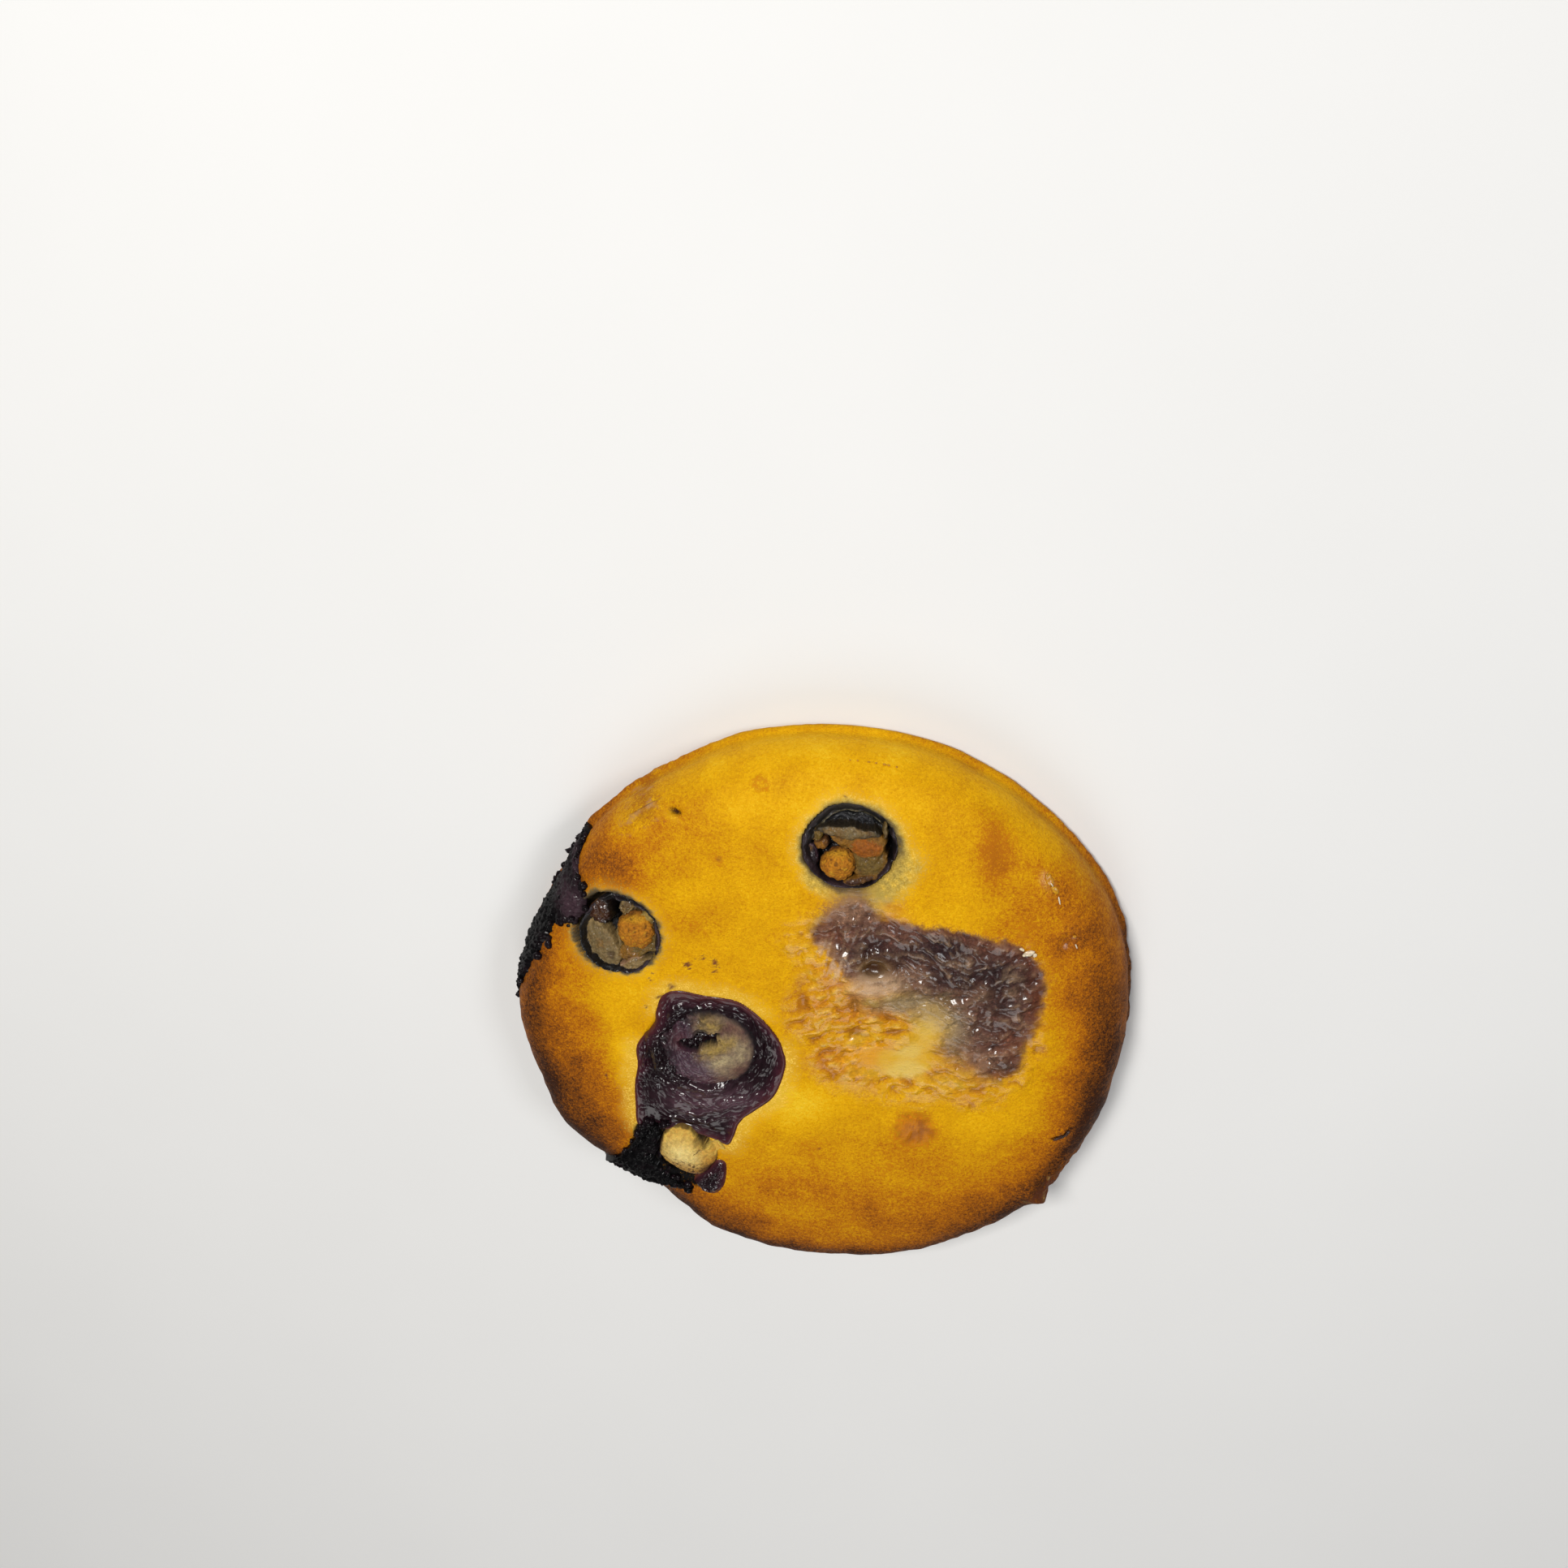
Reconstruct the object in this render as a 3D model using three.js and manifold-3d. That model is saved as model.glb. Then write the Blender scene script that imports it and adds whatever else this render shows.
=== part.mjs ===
// A small blueberry pancake: one round of baked batter with four berries sunk in its top,
// two crumbs of batter caught in the open berries, and the juice that boiled out and baked on.
// Millimetres, +Z up. The origin is the middle of the pancake's footprint, on its flat underside.

import * as THREE from "three";
import { mergeVertices } from "three/addons/utils/BufferGeometryUtils.js";
import Module from "manifold-3d";

const wasm = await Module();
wasm.setup();

// Driving dimensions.
const RADIUS = 48;
const THICKNESS = 15;
const GAP = 0.35; // between two pieces that touch
const CRUST_THICKNESS = 0.9; // of juice baked on the outside
const POOL_FLOOR = 11.4; // height of the floor of the juice pool
const TURNS = 72; // facets around the batter
const PROFILE_STEPS = 20; // facets from the edge of the underside to the middle of the top
const BALL_TURNS = 22; // facets around a berry or a crumb
const BALL_STEPS = 12; // facets from the bottom of one to its top
const OUTLINE_STEPS = 3; // facets between two points of an outline seen from above

// Half section of the batter: radius as a share of RADIUS, height as a share of THICKNESS.
// It runs from the flat underside, round the thin lip where batter spread on the griddle, up the
// bulging side and over the shoulder to the slightly domed top.
const UNDERSIDE = [
  [0, 0],
  [0.32, 0],
  [0.63, 0],
  [0.945, 0],
];
const SIDE_AND_TOP = [
  [0.985, 0.03],
  [1, 0.08],
  [0.987, 0.16],
  [0.99, 0.33],
  [0.977, 0.53],
  [0.938, 0.72],
  [0.865, 0.84],
  [0.75, 0.913],
  [0.583, 0.96],
  [0.3, 0.99],
  [0, 1],
];

// Where the outline swells or is cut in: direction in degrees, spread in degrees, amount in mm.
const SWELLS = [
  { at: 65, spread: 16, by: 0.7 },
  { at: 118, spread: 14, by: -0.9 },
  { at: 150, spread: 12, by: -1.5 },
  { at: 180, spread: 12, by: 1.4 },
  { at: 226, spread: 16, by: -3.4 },
  { at: 295, spread: 24, by: 1.0 },
  { at: 348, spread: 16, by: -0.6 },
];

// Low swellings and hollows of the top: middle, reach and height in mm.
const RELIEF = [
  { x: 8, y: 12, reach: 5, by: 0.8 },
  { x: 24, y: 6, reach: 10, by: -0.5 },
  { x: 8, y: -3, reach: 9, by: -0.6 },
  { x: -38, y: -6, reach: 7, by: 0.4 },
  { x: -12, y: 33, reach: 9, by: 0.3 },
  { x: 12, y: -33, reach: 8, by: 0.3 },
  { x: -2, y: -22, reach: 8, by: -0.4 },
];

// The berries: middle, half sizes, and for a berry that burst open, the hollow left in it.
const BERRIES = {
  blueberry_top: {
    middle: [6, 34.2, 10.8],
    half: [7.3, 7.1, 6],
    hollow: { middle: [6, 34.2, 15], half: [6.3, 6.1, 4.6] },
  },
  blueberry_left: {
    middle: [-30, 19.2, 10.6],
    half: [7.6, 7.4, 6],
    hollow: { middle: [-29.8, 19.2, 14.8], half: [6.5, 6.3, 4.4] },
  },
  blueberry_burst: {
    middle: [-17.5, -0.5, 10.2],
    half: [7.6, 7.1, 6],
    hollow: { middle: [-18.3, 1, 16.2], half: [1.6, 1, 2.2] },
  },
  blueberry_lower: {
    middle: [-22, -21.8, 9.2],
    half: [5, 5.5, 5.4],
  },
};

// Crumbs of batter that lie in the open berries.
const CRUMBS = {
  crumb_top: { middle: [4.4, 31.7, 13], half: [2.5, 2.4, 2.2], lies_in: "blueberry_top" },
  crumb_left: { middle: [-27.2, 18.7, 12.8], half: [3.1, 3, 2.1], lies_in: "blueberry_left" },
};

// Outlines seen from above, in mm: the jam around the burst berry and the two baked-on crusts.
const POOL_OUTLINE = [
  [-21, 10],
  [-12.5, 8.5],
  [-7, 3.5],
  [-5, -3],
  [-7.5, -10],
  [-13, -14.5],
  [-18, -15.3],
  [-23, -15.5],
  [-29.3, -14.5],
  [-28.8, -8],
  [-27.8, -1],
  [-25, 4],
  [-24, 8],
];
const LEFT_CRUST_OUTLINE = [
  [-36, 26.5],
  [-36.5, 30],
  [-39, 35],
  [-52, 26],
  [-54, 5],
  [-46.5, 5.5],
  [-43, 13],
  [-39.5, 18.5],
  [-37, 21],
];
const LOWER_CRUST_OUTLINE = [
  [-29.8, -18],
  [-27, -22],
  [-25, -27],
  [-21, -28.5],
  [-17, -25],
  [-16, -29],
  [-20, -32],
  [-27, -32],
  [-34, -42],
  [-44, -34],
  [-37, -26.5],
  [-32.5, -22.5],
];

const COLOURS = {
  batter: { color: 0xdb9a1a, roughness: 0.6, metalness: 0 },
  berry: { color: 0x2b2230, roughness: 0.35, metalness: 0 },
  crumb: { color: 0xc67f1c, roughness: 0.75, metalness: 0 },
  juice: { color: 0x2a1420, roughness: 0.25, metalness: 0 },
  burnt_juice: { color: 0x100b0f, roughness: 0.3, metalness: 0 },
};

// Three.js geometry to a manifold solid, with its shared vertices merged.
function solidOf(geometry) {
  const bare = geometry.clone();
  bare.deleteAttribute("normal");
  bare.deleteAttribute("uv");
  const merged = mergeVertices(bare, 1e-4);
  return new wasm.Manifold(
    new wasm.Mesh({
      numProp: 3,
      vertProperties: merged.attributes.position.array,
      triVerts: new Uint32Array(merged.index.array),
    }),
  );
}

// A manifold solid back to three.js geometry.
function geometryOf(solid) {
  const mesh = solid.getMesh();
  const geometry = new THREE.BufferGeometry();
  geometry.setAttribute("position", new THREE.BufferAttribute(mesh.vertProperties, 3));
  geometry.setIndex(new THREE.BufferAttribute(mesh.triVerts, 1));
  geometry.computeVertexNormals();
  return geometry;
}

function smoothstep(from, to, value) {
  const t = THREE.MathUtils.clamp((value - from) / (to - from), 0, 1);
  return t * t * (3 - 2 * t);
}

// How far the outline stands out or in at an angle in radians.
function swellAt(angle) {
  let sum = 0;
  for (const { at, spread, by } of SWELLS) {
    const degrees = THREE.MathUtils.radToDeg(angle) - at;
    const away = THREE.MathUtils.euclideanModulo(degrees + 180, 360) - 180;
    sum += by * Math.exp(-0.5 * (away / spread) ** 2);
  }
  return sum;
}

function reliefAt(x, y) {
  let sum = 0;
  for (const { x: cx, y: cy, reach, by } of RELIEF) {
    sum += by * Math.exp(-((x - cx) ** 2 + (y - cy) ** 2) / (reach * reach));
  }
  return sum;
}

// The half section moved outwards by grow, from the axis below to the axis above.
function sectionPoints(grow) {
  const asPoint = ([r, z]) => new THREE.Vector3(r * RADIUS, z * THICKNESS, 0);
  const curve = new THREE.CatmullRomCurve3(SIDE_AND_TOP.map(asPoint), false, "centripetal");
  const points = UNDERSIDE.map(asPoint).map((p) => new THREE.Vector2(p.x, p.y - grow));
  for (let i = 0; i <= PROFILE_STEPS; i += 1) {
    const along = i / PROFILE_STEPS;
    const p = curve.getPoint(along);
    const t = curve.getTangent(along);
    points.push(new THREE.Vector2(p.x + t.y * grow, p.y - t.x * grow));
  }
  points.at(-1).x = 0;
  return points;
}

// The whole round of batter, grown on every side, before any berry is let into it.
function batterSolid(grow = 0) {
  const geometry = new THREE.LatheGeometry(sectionPoints(grow), TURNS);
  geometry.rotateX(Math.PI / 2);
  const place = geometry.attributes.position;
  for (let i = 0; i < place.count; i += 1) {
    const x = place.getX(i);
    const y = place.getY(i);
    const z = place.getZ(i);
    const radius = Math.hypot(x, y);
    const nearRim = smoothstep(0.45 * RADIUS, 0.95 * RADIUS, radius);
    const stretch = radius > 0 ? 1 + (nearRim * swellAt(Math.atan2(y, x))) / radius : 1;
    const onTop = smoothstep(0.6 * THICKNESS, 0.9 * THICKNESS, z);
    place.setXYZ(i, x * stretch, y * stretch, z + onTop * reliefAt(x, y));
  }
  return solidOf(geometry);
}

function ellipsoid(middle, half, grow = 0) {
  const geometry = new THREE.SphereGeometry(1, BALL_TURNS, BALL_STEPS);
  geometry.rotateX(Math.PI / 2);
  geometry.scale(half[0] + grow, half[1] + grow, half[2] + grow);
  geometry.translate(...middle);
  return solidOf(geometry);
}

// An upright prism over a smooth closed outline, drawn in by inset.
function prism(outline, bottom, top, inset = 0) {
  const corners = outline.map(([x, y]) => new THREE.Vector3(x, y, 0));
  const curve = new THREE.CatmullRomCurve3(corners, true, "centripetal");
  const steps = outline.length * OUTLINE_STEPS;
  const turn = THREE.ShapeUtils.isClockWise(curve.getPoints(steps)) ? 1 : -1;
  const ring = [];
  for (let i = 0; i < steps; i += 1) {
    const p = curve.getPoint(i / steps);
    const t = curve.getTangent(i / steps);
    ring.push(new THREE.Vector2(p.x + turn * t.y * inset, p.y - turn * t.x * inset));
  }
  const geometry = new THREE.ExtrudeGeometry(new THREE.Shape(ring), {
    depth: top - bottom,
    bevelEnabled: false,
  });
  geometry.translate(0, 0, bottom);
  return solidOf(geometry);
}

// The room that all the berries take, with a gap around each.
function berryRoom(solid) {
  let left = solid;
  for (const berry of Object.values(BERRIES)) {
    left = left.subtract(ellipsoid(berry.middle, berry.half, GAP));
  }
  return left;
}

function batter() {
  const recess = prism(POOL_OUTLINE, POOL_FLOOR, 2 * THICKNESS);
  return berryRoom(batterSolid()).subtract(recess);
}

function berry({ middle, half, hollow }) {
  const whole = ellipsoid(middle, half);
  return hollow ? whole.subtract(ellipsoid(hollow.middle, hollow.half)) : whole;
}

function crumb({ middle, half, lies_in }) {
  const home = BERRIES[lies_in];
  const room = ellipsoid(home.hollow.middle, home.hollow.half, -GAP);
  return ellipsoid(middle, half).intersect(room).intersect(ellipsoid(home.middle, home.half));
}

// The jam in its recess, level with the batter around it.
function juicePool() {
  const slab = prism(POOL_OUTLINE, POOL_FLOOR + GAP, 2 * THICKNESS, GAP);
  return berryRoom(slab.intersect(batterSolid()));
}

// Juice baked on the outside of the batter, within an outline.
function crust(outline) {
  const skin = batterSolid(GAP + CRUST_THICKNESS).subtract(batterSolid(GAP));
  return berryRoom(skin.intersect(prism(outline, GAP, 2 * THICKNESS)));
}

// The largest body of a solid, without the slivers that a cut can leave.
function largest(solid) {
  return solid.decompose().sort((a, b) => b.volume() - a.volume())[0];
}

function piece(name, solid, finish) {
  const mesh = new THREE.Mesh(geometryOf(largest(solid)), new THREE.MeshStandardMaterial(finish));
  mesh.name = name;
  return mesh;
}

const pancake = new THREE.Group();
pancake.add(piece("pancake_body", batter(), COLOURS.batter));
for (const [name, shape] of Object.entries(BERRIES)) {
  pancake.add(piece(name, berry(shape), COLOURS.berry));
}
for (const [name, shape] of Object.entries(CRUMBS)) {
  pancake.add(piece(name, crumb(shape), COLOURS.crumb));
}
pancake.add(piece("juice_pool", juicePool(), COLOURS.juice));
pancake.add(piece("juice_crust_left", crust(LEFT_CRUST_OUTLINE), COLOURS.burnt_juice));
pancake.add(piece("juice_crust_lower", crust(LOWER_CRUST_OUTLINE), COLOURS.burnt_juice));

// The footprint's middle is the origin.
const extent = new THREE.Box3().setFromObject(pancake);
const middle = extent.getCenter(new THREE.Vector3());
pancake.position.set(-middle.x, -middle.y, -extent.min.z);

export default pancake;
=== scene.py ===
"""A small round blueberry pancake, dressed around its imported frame.

All sizes in this file are millimetres on the pancake, measured from the middle of its top, unless a name
says otherwise. Each finished mesh is moved to the frame and turned into metres at the end.
"""

import itertools
import logging
import math
from dataclasses import dataclass
from enum import Enum
from typing import Callable, Sequence

import bmesh
import bpy
import numpy as np
from mathutils import Matrix, Vector


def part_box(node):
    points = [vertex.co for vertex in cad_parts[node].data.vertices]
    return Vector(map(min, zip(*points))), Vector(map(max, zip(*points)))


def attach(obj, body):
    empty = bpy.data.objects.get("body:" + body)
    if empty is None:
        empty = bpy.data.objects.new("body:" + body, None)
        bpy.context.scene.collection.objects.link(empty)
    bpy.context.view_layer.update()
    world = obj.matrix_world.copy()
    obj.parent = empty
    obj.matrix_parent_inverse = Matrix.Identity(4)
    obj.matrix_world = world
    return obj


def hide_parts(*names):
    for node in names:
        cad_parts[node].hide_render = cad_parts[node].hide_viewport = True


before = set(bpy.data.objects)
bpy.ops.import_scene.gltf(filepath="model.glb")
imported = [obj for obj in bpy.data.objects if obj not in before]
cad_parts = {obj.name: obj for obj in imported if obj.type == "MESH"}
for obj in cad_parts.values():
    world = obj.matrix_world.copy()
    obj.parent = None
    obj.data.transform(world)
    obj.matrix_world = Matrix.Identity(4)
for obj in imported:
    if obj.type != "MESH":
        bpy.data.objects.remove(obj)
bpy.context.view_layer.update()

LOG = logging.getLogger("pancake")
METRE = 0.001
BODY = "root"

Array = np.ndarray
Piece = bpy.types.Object
Material = bpy.types.Material
Mesh = bmesh.types.BMesh
Point = tuple[float, float]


class Tint(Enum):
    """Named colours of the browning, fruit and juice, and of painted shade and highlights, as 0 to 255
    display values.
    """

    CREAM = (232, 200, 116)
    PALE_YELLOW = (234, 192, 38)
    YELLOW = (222, 166, 0)
    GOLD = (200, 141, 0)
    ORANGE = (177, 105, 5)
    TAN = (140, 77, 10)
    BROWN = (95, 52, 14)
    DARK_BROWN = (52, 26, 12)
    HALO = (216, 178, 70)
    HALO_OLIVE = (150, 130, 66)
    HALO_SMOKE = (58, 54, 50)
    CUSTARD = (208, 160, 34)
    PALE_CUSTARD = (212, 178, 80)
    SYRUP_GOLD = (212, 146, 4)
    AMBER = (186, 112, 10)
    OLIVE_GREY = (128, 106, 66)
    MAUVE = (94, 60, 48)
    SOFT_MAUVE = (146, 110, 84)
    PALE_MAUVE = (194, 160, 124)
    RED_BROWN = (100, 54, 34)
    PLUM = (38, 19, 21)
    GREY_VEIL = (150, 132, 100)
    WINE = (50, 20, 30)
    DEEP_WINE = (20, 8, 13)
    RED_JAM = (80, 36, 38)
    LILAC = (92, 68, 78)
    DARK_SKIN_AND_SHADE = (40, 34, 28)
    SKIN = (13, 12, 13)
    BLOOM = (62, 62, 68)
    FLESH = (110, 92, 58)
    PALE_FLESH_AND_HIGHLIGHT = (184, 168, 124)
    OLIVE = (98, 76, 28)
    OLIVE_BROWN = (120, 82, 22)
    SYRUP = (56, 28, 10)
    TOAST = (176, 112, 18)
    LEATHER = (128, 82, 12)
    DOME_GREY_AND_REFLECTION = (142, 122, 94)
    DOME_CREAM = (148, 122, 58)
    VIOLET = (60, 36, 50)
    CAP = (206, 168, 74)
    CAP_PALE = (226, 204, 134)
    HOLE_SHADE = (3, 2, 3)
    SOOT = (4, 3, 4)
    SOOT_WINE = (27, 15, 21)
    WHITE_CRUMB = (226, 206, 176)

    @property
    def linear(self) -> tuple[float, float, float]:
        """The colour as scene-linear values."""
        shares = [channel / 255.0 for channel in self.value]
        return tuple(
            s / 12.92 if s <= 0.04045 else ((s + 0.055) / 1.055) ** 2.4 for s in shares
        )


class Slot(Enum):
    """The record's material slots."""

    BATTER = "baked_batter"
    BERRY = "blueberry"
    CRUMB = "batter_crumb"
    JAM = "berry_jam"
    BURNT = "burnt_juice"


# ------------------------ number helpers


def ease(low: float, high: float, value: Array) -> Array:
    """Eases from 0 at low to 1 at high.

    Args:
        low: Where the result is 0.
        high: Where the result is 1.
        value: The values to ease.

    Returns:
        The eased share of each value.
    """
    share = np.clip((value - low) / (high - low), 0, 1)
    return share * share * (3.0 - 2.0 * share)


def bell(offset: Array, width: float) -> Array:
    """1 where the offset is 0, fading smoothly to 0 within a few widths."""
    return np.exp(-((offset / width) ** 2))


def plane(x: Array, y: Array) -> Array:
    """Places on the plane at height 0, as one row of X, Y and Z each."""
    return np.stack((x, y, np.zeros(len(x))), axis=1)


def turned_from(azimuth: Array, degrees: float) -> Array:
    """How far each direction is turned from one in degrees, from -180 to 180."""
    return (np.degrees(azimuth) - degrees + 180.0) % 360.0 - 180.0


def on_ring(angle: Array, radius: float, height: Array) -> Array:
    """Places round a ring, as one row of X, Y and Z each."""
    return np.stack((radius * np.cos(angle), radius * np.sin(angle), height), axis=1)


class Texture:
    """Seeded noise over points, for lumps, wrinkles and ragged edges."""

    CELLS = 64

    def __init__(self, seed: int) -> None:
        """Draws the lattice.

        Args:
            seed: Gives the same noise each run.
        """
        draw = np.random.default_rng(seed)
        self.order = draw.permutation(self.CELLS)
        steep = draw.normal(size=(self.CELLS, 3))
        self.slopes = steep / np.linalg.norm(steep, axis=1)[:, None]
        self.jitter = draw.random((self.CELLS, 3))

    def _pick(self, cell: Array) -> Array:
        """Finds each lattice cell's row in the tables.

        Args:
            cell: One row of three whole numbers for each cell.

        Returns:
            The rows.
        """
        size = self.CELLS
        row = self.order[cell[:, 0] % size]
        row = self.order[(row + cell[:, 1]) % size]
        return self.order[(row + cell[:, 2]) % size]

    def smooth(self, points: Array, size: float) -> Array:
        """Gradient noise.

        Args:
            points: One row of three coordinates for each point.
            size: The width of one lump.

        Returns:
            About -1 to 1 for each point.
        """
        place = points / size + 31.7
        base = np.floor(place).astype(np.int64)
        part = place - base
        fade = part**3 * (part * (part * 6.0 - 15.0) + 10.0)
        total = np.zeros(len(points))
        for corner in itertools.product((0, 1), repeat=3):
            step = np.array(corner)
            slope = self.slopes[self._pick(base + step)]
            share = np.prod(np.where(step, fade, 1 - fade), axis=1)
            total += share * ((part - step) * slope).sum(axis=1)
        return total * 1.7

    def layered(self, points: Array, size: float, layers: int = 3, keep: float = 0.5) -> Array:
        """Gradient noise with finer layers on top.

        Args:
            points: One row of three coordinates for each point.
            size: The width of the largest lumps.
            layers: How many layers, each half as wide as the last.
            keep: The height of each layer against the last.

        Returns:
            About -1 to 1 for each point.
        """
        total = np.zeros(len(points))
        height, whole = 1.0, 0.0
        for _ in range(layers):
            total += height * self.smooth(points, size)
            whole += height
            height *= keep
            size *= 0.5
        return total / whole

    def ridges(self, points: Array, size: float, layers: int = 3) -> Array:
        """Sharp folds: 1 on a crest and 0 between.

        Args:
            points: One row of three coordinates for each point.
            size: The width between crests.
            layers: How many layers, each half as wide as the last.

        Returns:
            0 to 1 for each point.
        """
        total = np.zeros(len(points))
        height, whole = 1.0, 0.0
        for _ in range(layers):
            total += height * (1 - np.abs(self.smooth(points, size)))
            whole += height
            height *= 0.5
            size *= 0.53
        return np.clip(total / whole, 0, 1) ** 2

    def grains(self, points: Array, size: float) -> Array:
        """Round grains packed side by side.

        Args:
            points: One row of three coordinates for each point.
            size: The width of one grain.

        Returns:
            1 at a grain's top and about 0 between grains.
        """
        place = points / size + 17.3
        base = np.floor(place).astype(np.int64)
        nearest = np.full(len(points), 9.0)
        for step in itertools.product((-1, 0, 1), repeat=3):
            cell = base + np.array(step)
            middle = cell + self.jitter[self._pick(cell)]
            nearest = np.minimum(nearest, ((place - middle) ** 2).sum(axis=1))
        return np.clip(1 - nearest, 0, 1)


@dataclass(frozen=True)
class Spot:
    """A soft oval patch on the top."""

    x: float
    y: float
    wide: float
    high: float
    turn: float = 0.0
    amount: float = 1.0
    edge: float = 1.0

    def at(self, x: Array, y: Array) -> Array:
        """How strong the patch is at each place.

        Args:
            x: Places along X.
            y: Places along Y.

        Returns:
            Up to amount at each place. A higher edge makes the patch flatter with a firmer border.
        """
        angle = math.radians(self.turn)
        across = (x - self.x) * math.cos(angle) + (y - self.y) * math.sin(angle)
        along = (y - self.y) * math.cos(angle) - (x - self.x) * math.sin(angle)
        far = (across / self.wide) ** 2 + (along / self.high) ** 2
        return self.amount * np.exp(-(far**self.edge))


def spots(*rows: Sequence[float]) -> tuple[Spot, ...]:
    """Patches from rows of a table, each row in the order of Spot's fields."""
    return tuple(Spot(*row) for row in rows)


def cover(patches: Sequence[Spot], x: Array, y: Array) -> Array:
    """Lays patches over each other.

    Args:
        patches: The patches.
        x: Places along X.
        y: Places along Y.

    Returns:
        0 where none lies, up to 1 where they lie thick.
    """
    bare = np.ones(len(x))
    for patch in patches:
        bare *= 1 - np.clip(patch.at(x, y), 0, 1)
    return 1 - bare


def heap(patches: Sequence[Spot], x: Array, y: Array) -> Array:
    """Adds patches up, so that negative ones take away."""
    return sum((patch.at(x, y) for patch in patches), np.zeros(len(x)))


class Outline:
    """A smooth closed line through given points."""

    STEPS = 8

    def __init__(self, points: Sequence[Point]) -> None:
        """Rounds the line.

        Args:
            points: The corners, in order.
        """
        knots = np.array(points, float)
        before, after = np.roll(knots, 1, axis=0), np.roll(knots, -1, axis=0)
        beyond = np.roll(knots, -2, axis=0)
        line = []
        for share in np.arange(self.STEPS) / self.STEPS:
            line.append(
                0.5
                * (
                    2.0 * knots
                    + (after - before) * share
                    + (2.0 * before - 5.0 * knots + 4.0 * after - beyond) * share**2
                    + (3.0 * knots - before - 3.0 * after + beyond) * share**3
                )
            )
        self.line = np.stack(line, axis=1).reshape(-1, 2)
        self.middle = self.line.mean(axis=0)

    def depth(self, x: Array, y: Array) -> Array:
        """How far inside the line each place lies.

        Args:
            x: Places along X.
            y: Places along Y.

        Returns:
            Millimetres, negative outside.
        """
        far = np.full(len(x), 1e9)
        inside = np.zeros(len(x), bool)
        for start, end in zip(self.line, np.roll(self.line, -1, axis=0)):
            run = end - start
            share = ((x - start[0]) * run[0] + (y - start[1]) * run[1]) / (run @ run + 1e-12)
            share = np.clip(share, 0, 1)
            gap = (x - start[0] - share * run[0]) ** 2 + (y - start[1] - share * run[1]) ** 2
            far = np.minimum(far, gap)
            if start[1] != end[1]:
                crossing = start[0] + (y - start[1]) / run[1] * run[0]
                inside ^= ((start[1] > y) != (end[1] > y)) & (x < crossing)
        return np.sqrt(far) * np.where(inside, 1.0, -1.0)

    def reach(self, azimuth: Array) -> Array:
        """Measures from the middle to the line.

        Args:
            azimuth: Directions, in radians.

        Returns:
            The distance in each direction.
        """
        offset = self.line - self.middle
        angle = np.unwrap(np.arctan2(offset[:, 1], offset[:, 0]))
        order = np.argsort(angle % (2.0 * math.pi))
        return np.interp(
            azimuth % (2.0 * math.pi),
            (angle % (2.0 * math.pi))[order],
            np.hypot(offset[:, 0], offset[:, 1])[order],
            period=2.0 * math.pi,
        )


# ------------------------ the pancake's form


@dataclass(frozen=True)
class Swell:
    """A bulge or dip of the rim, in degrees and millimetres."""

    azimuth: float
    spread: float
    outward: float


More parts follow.
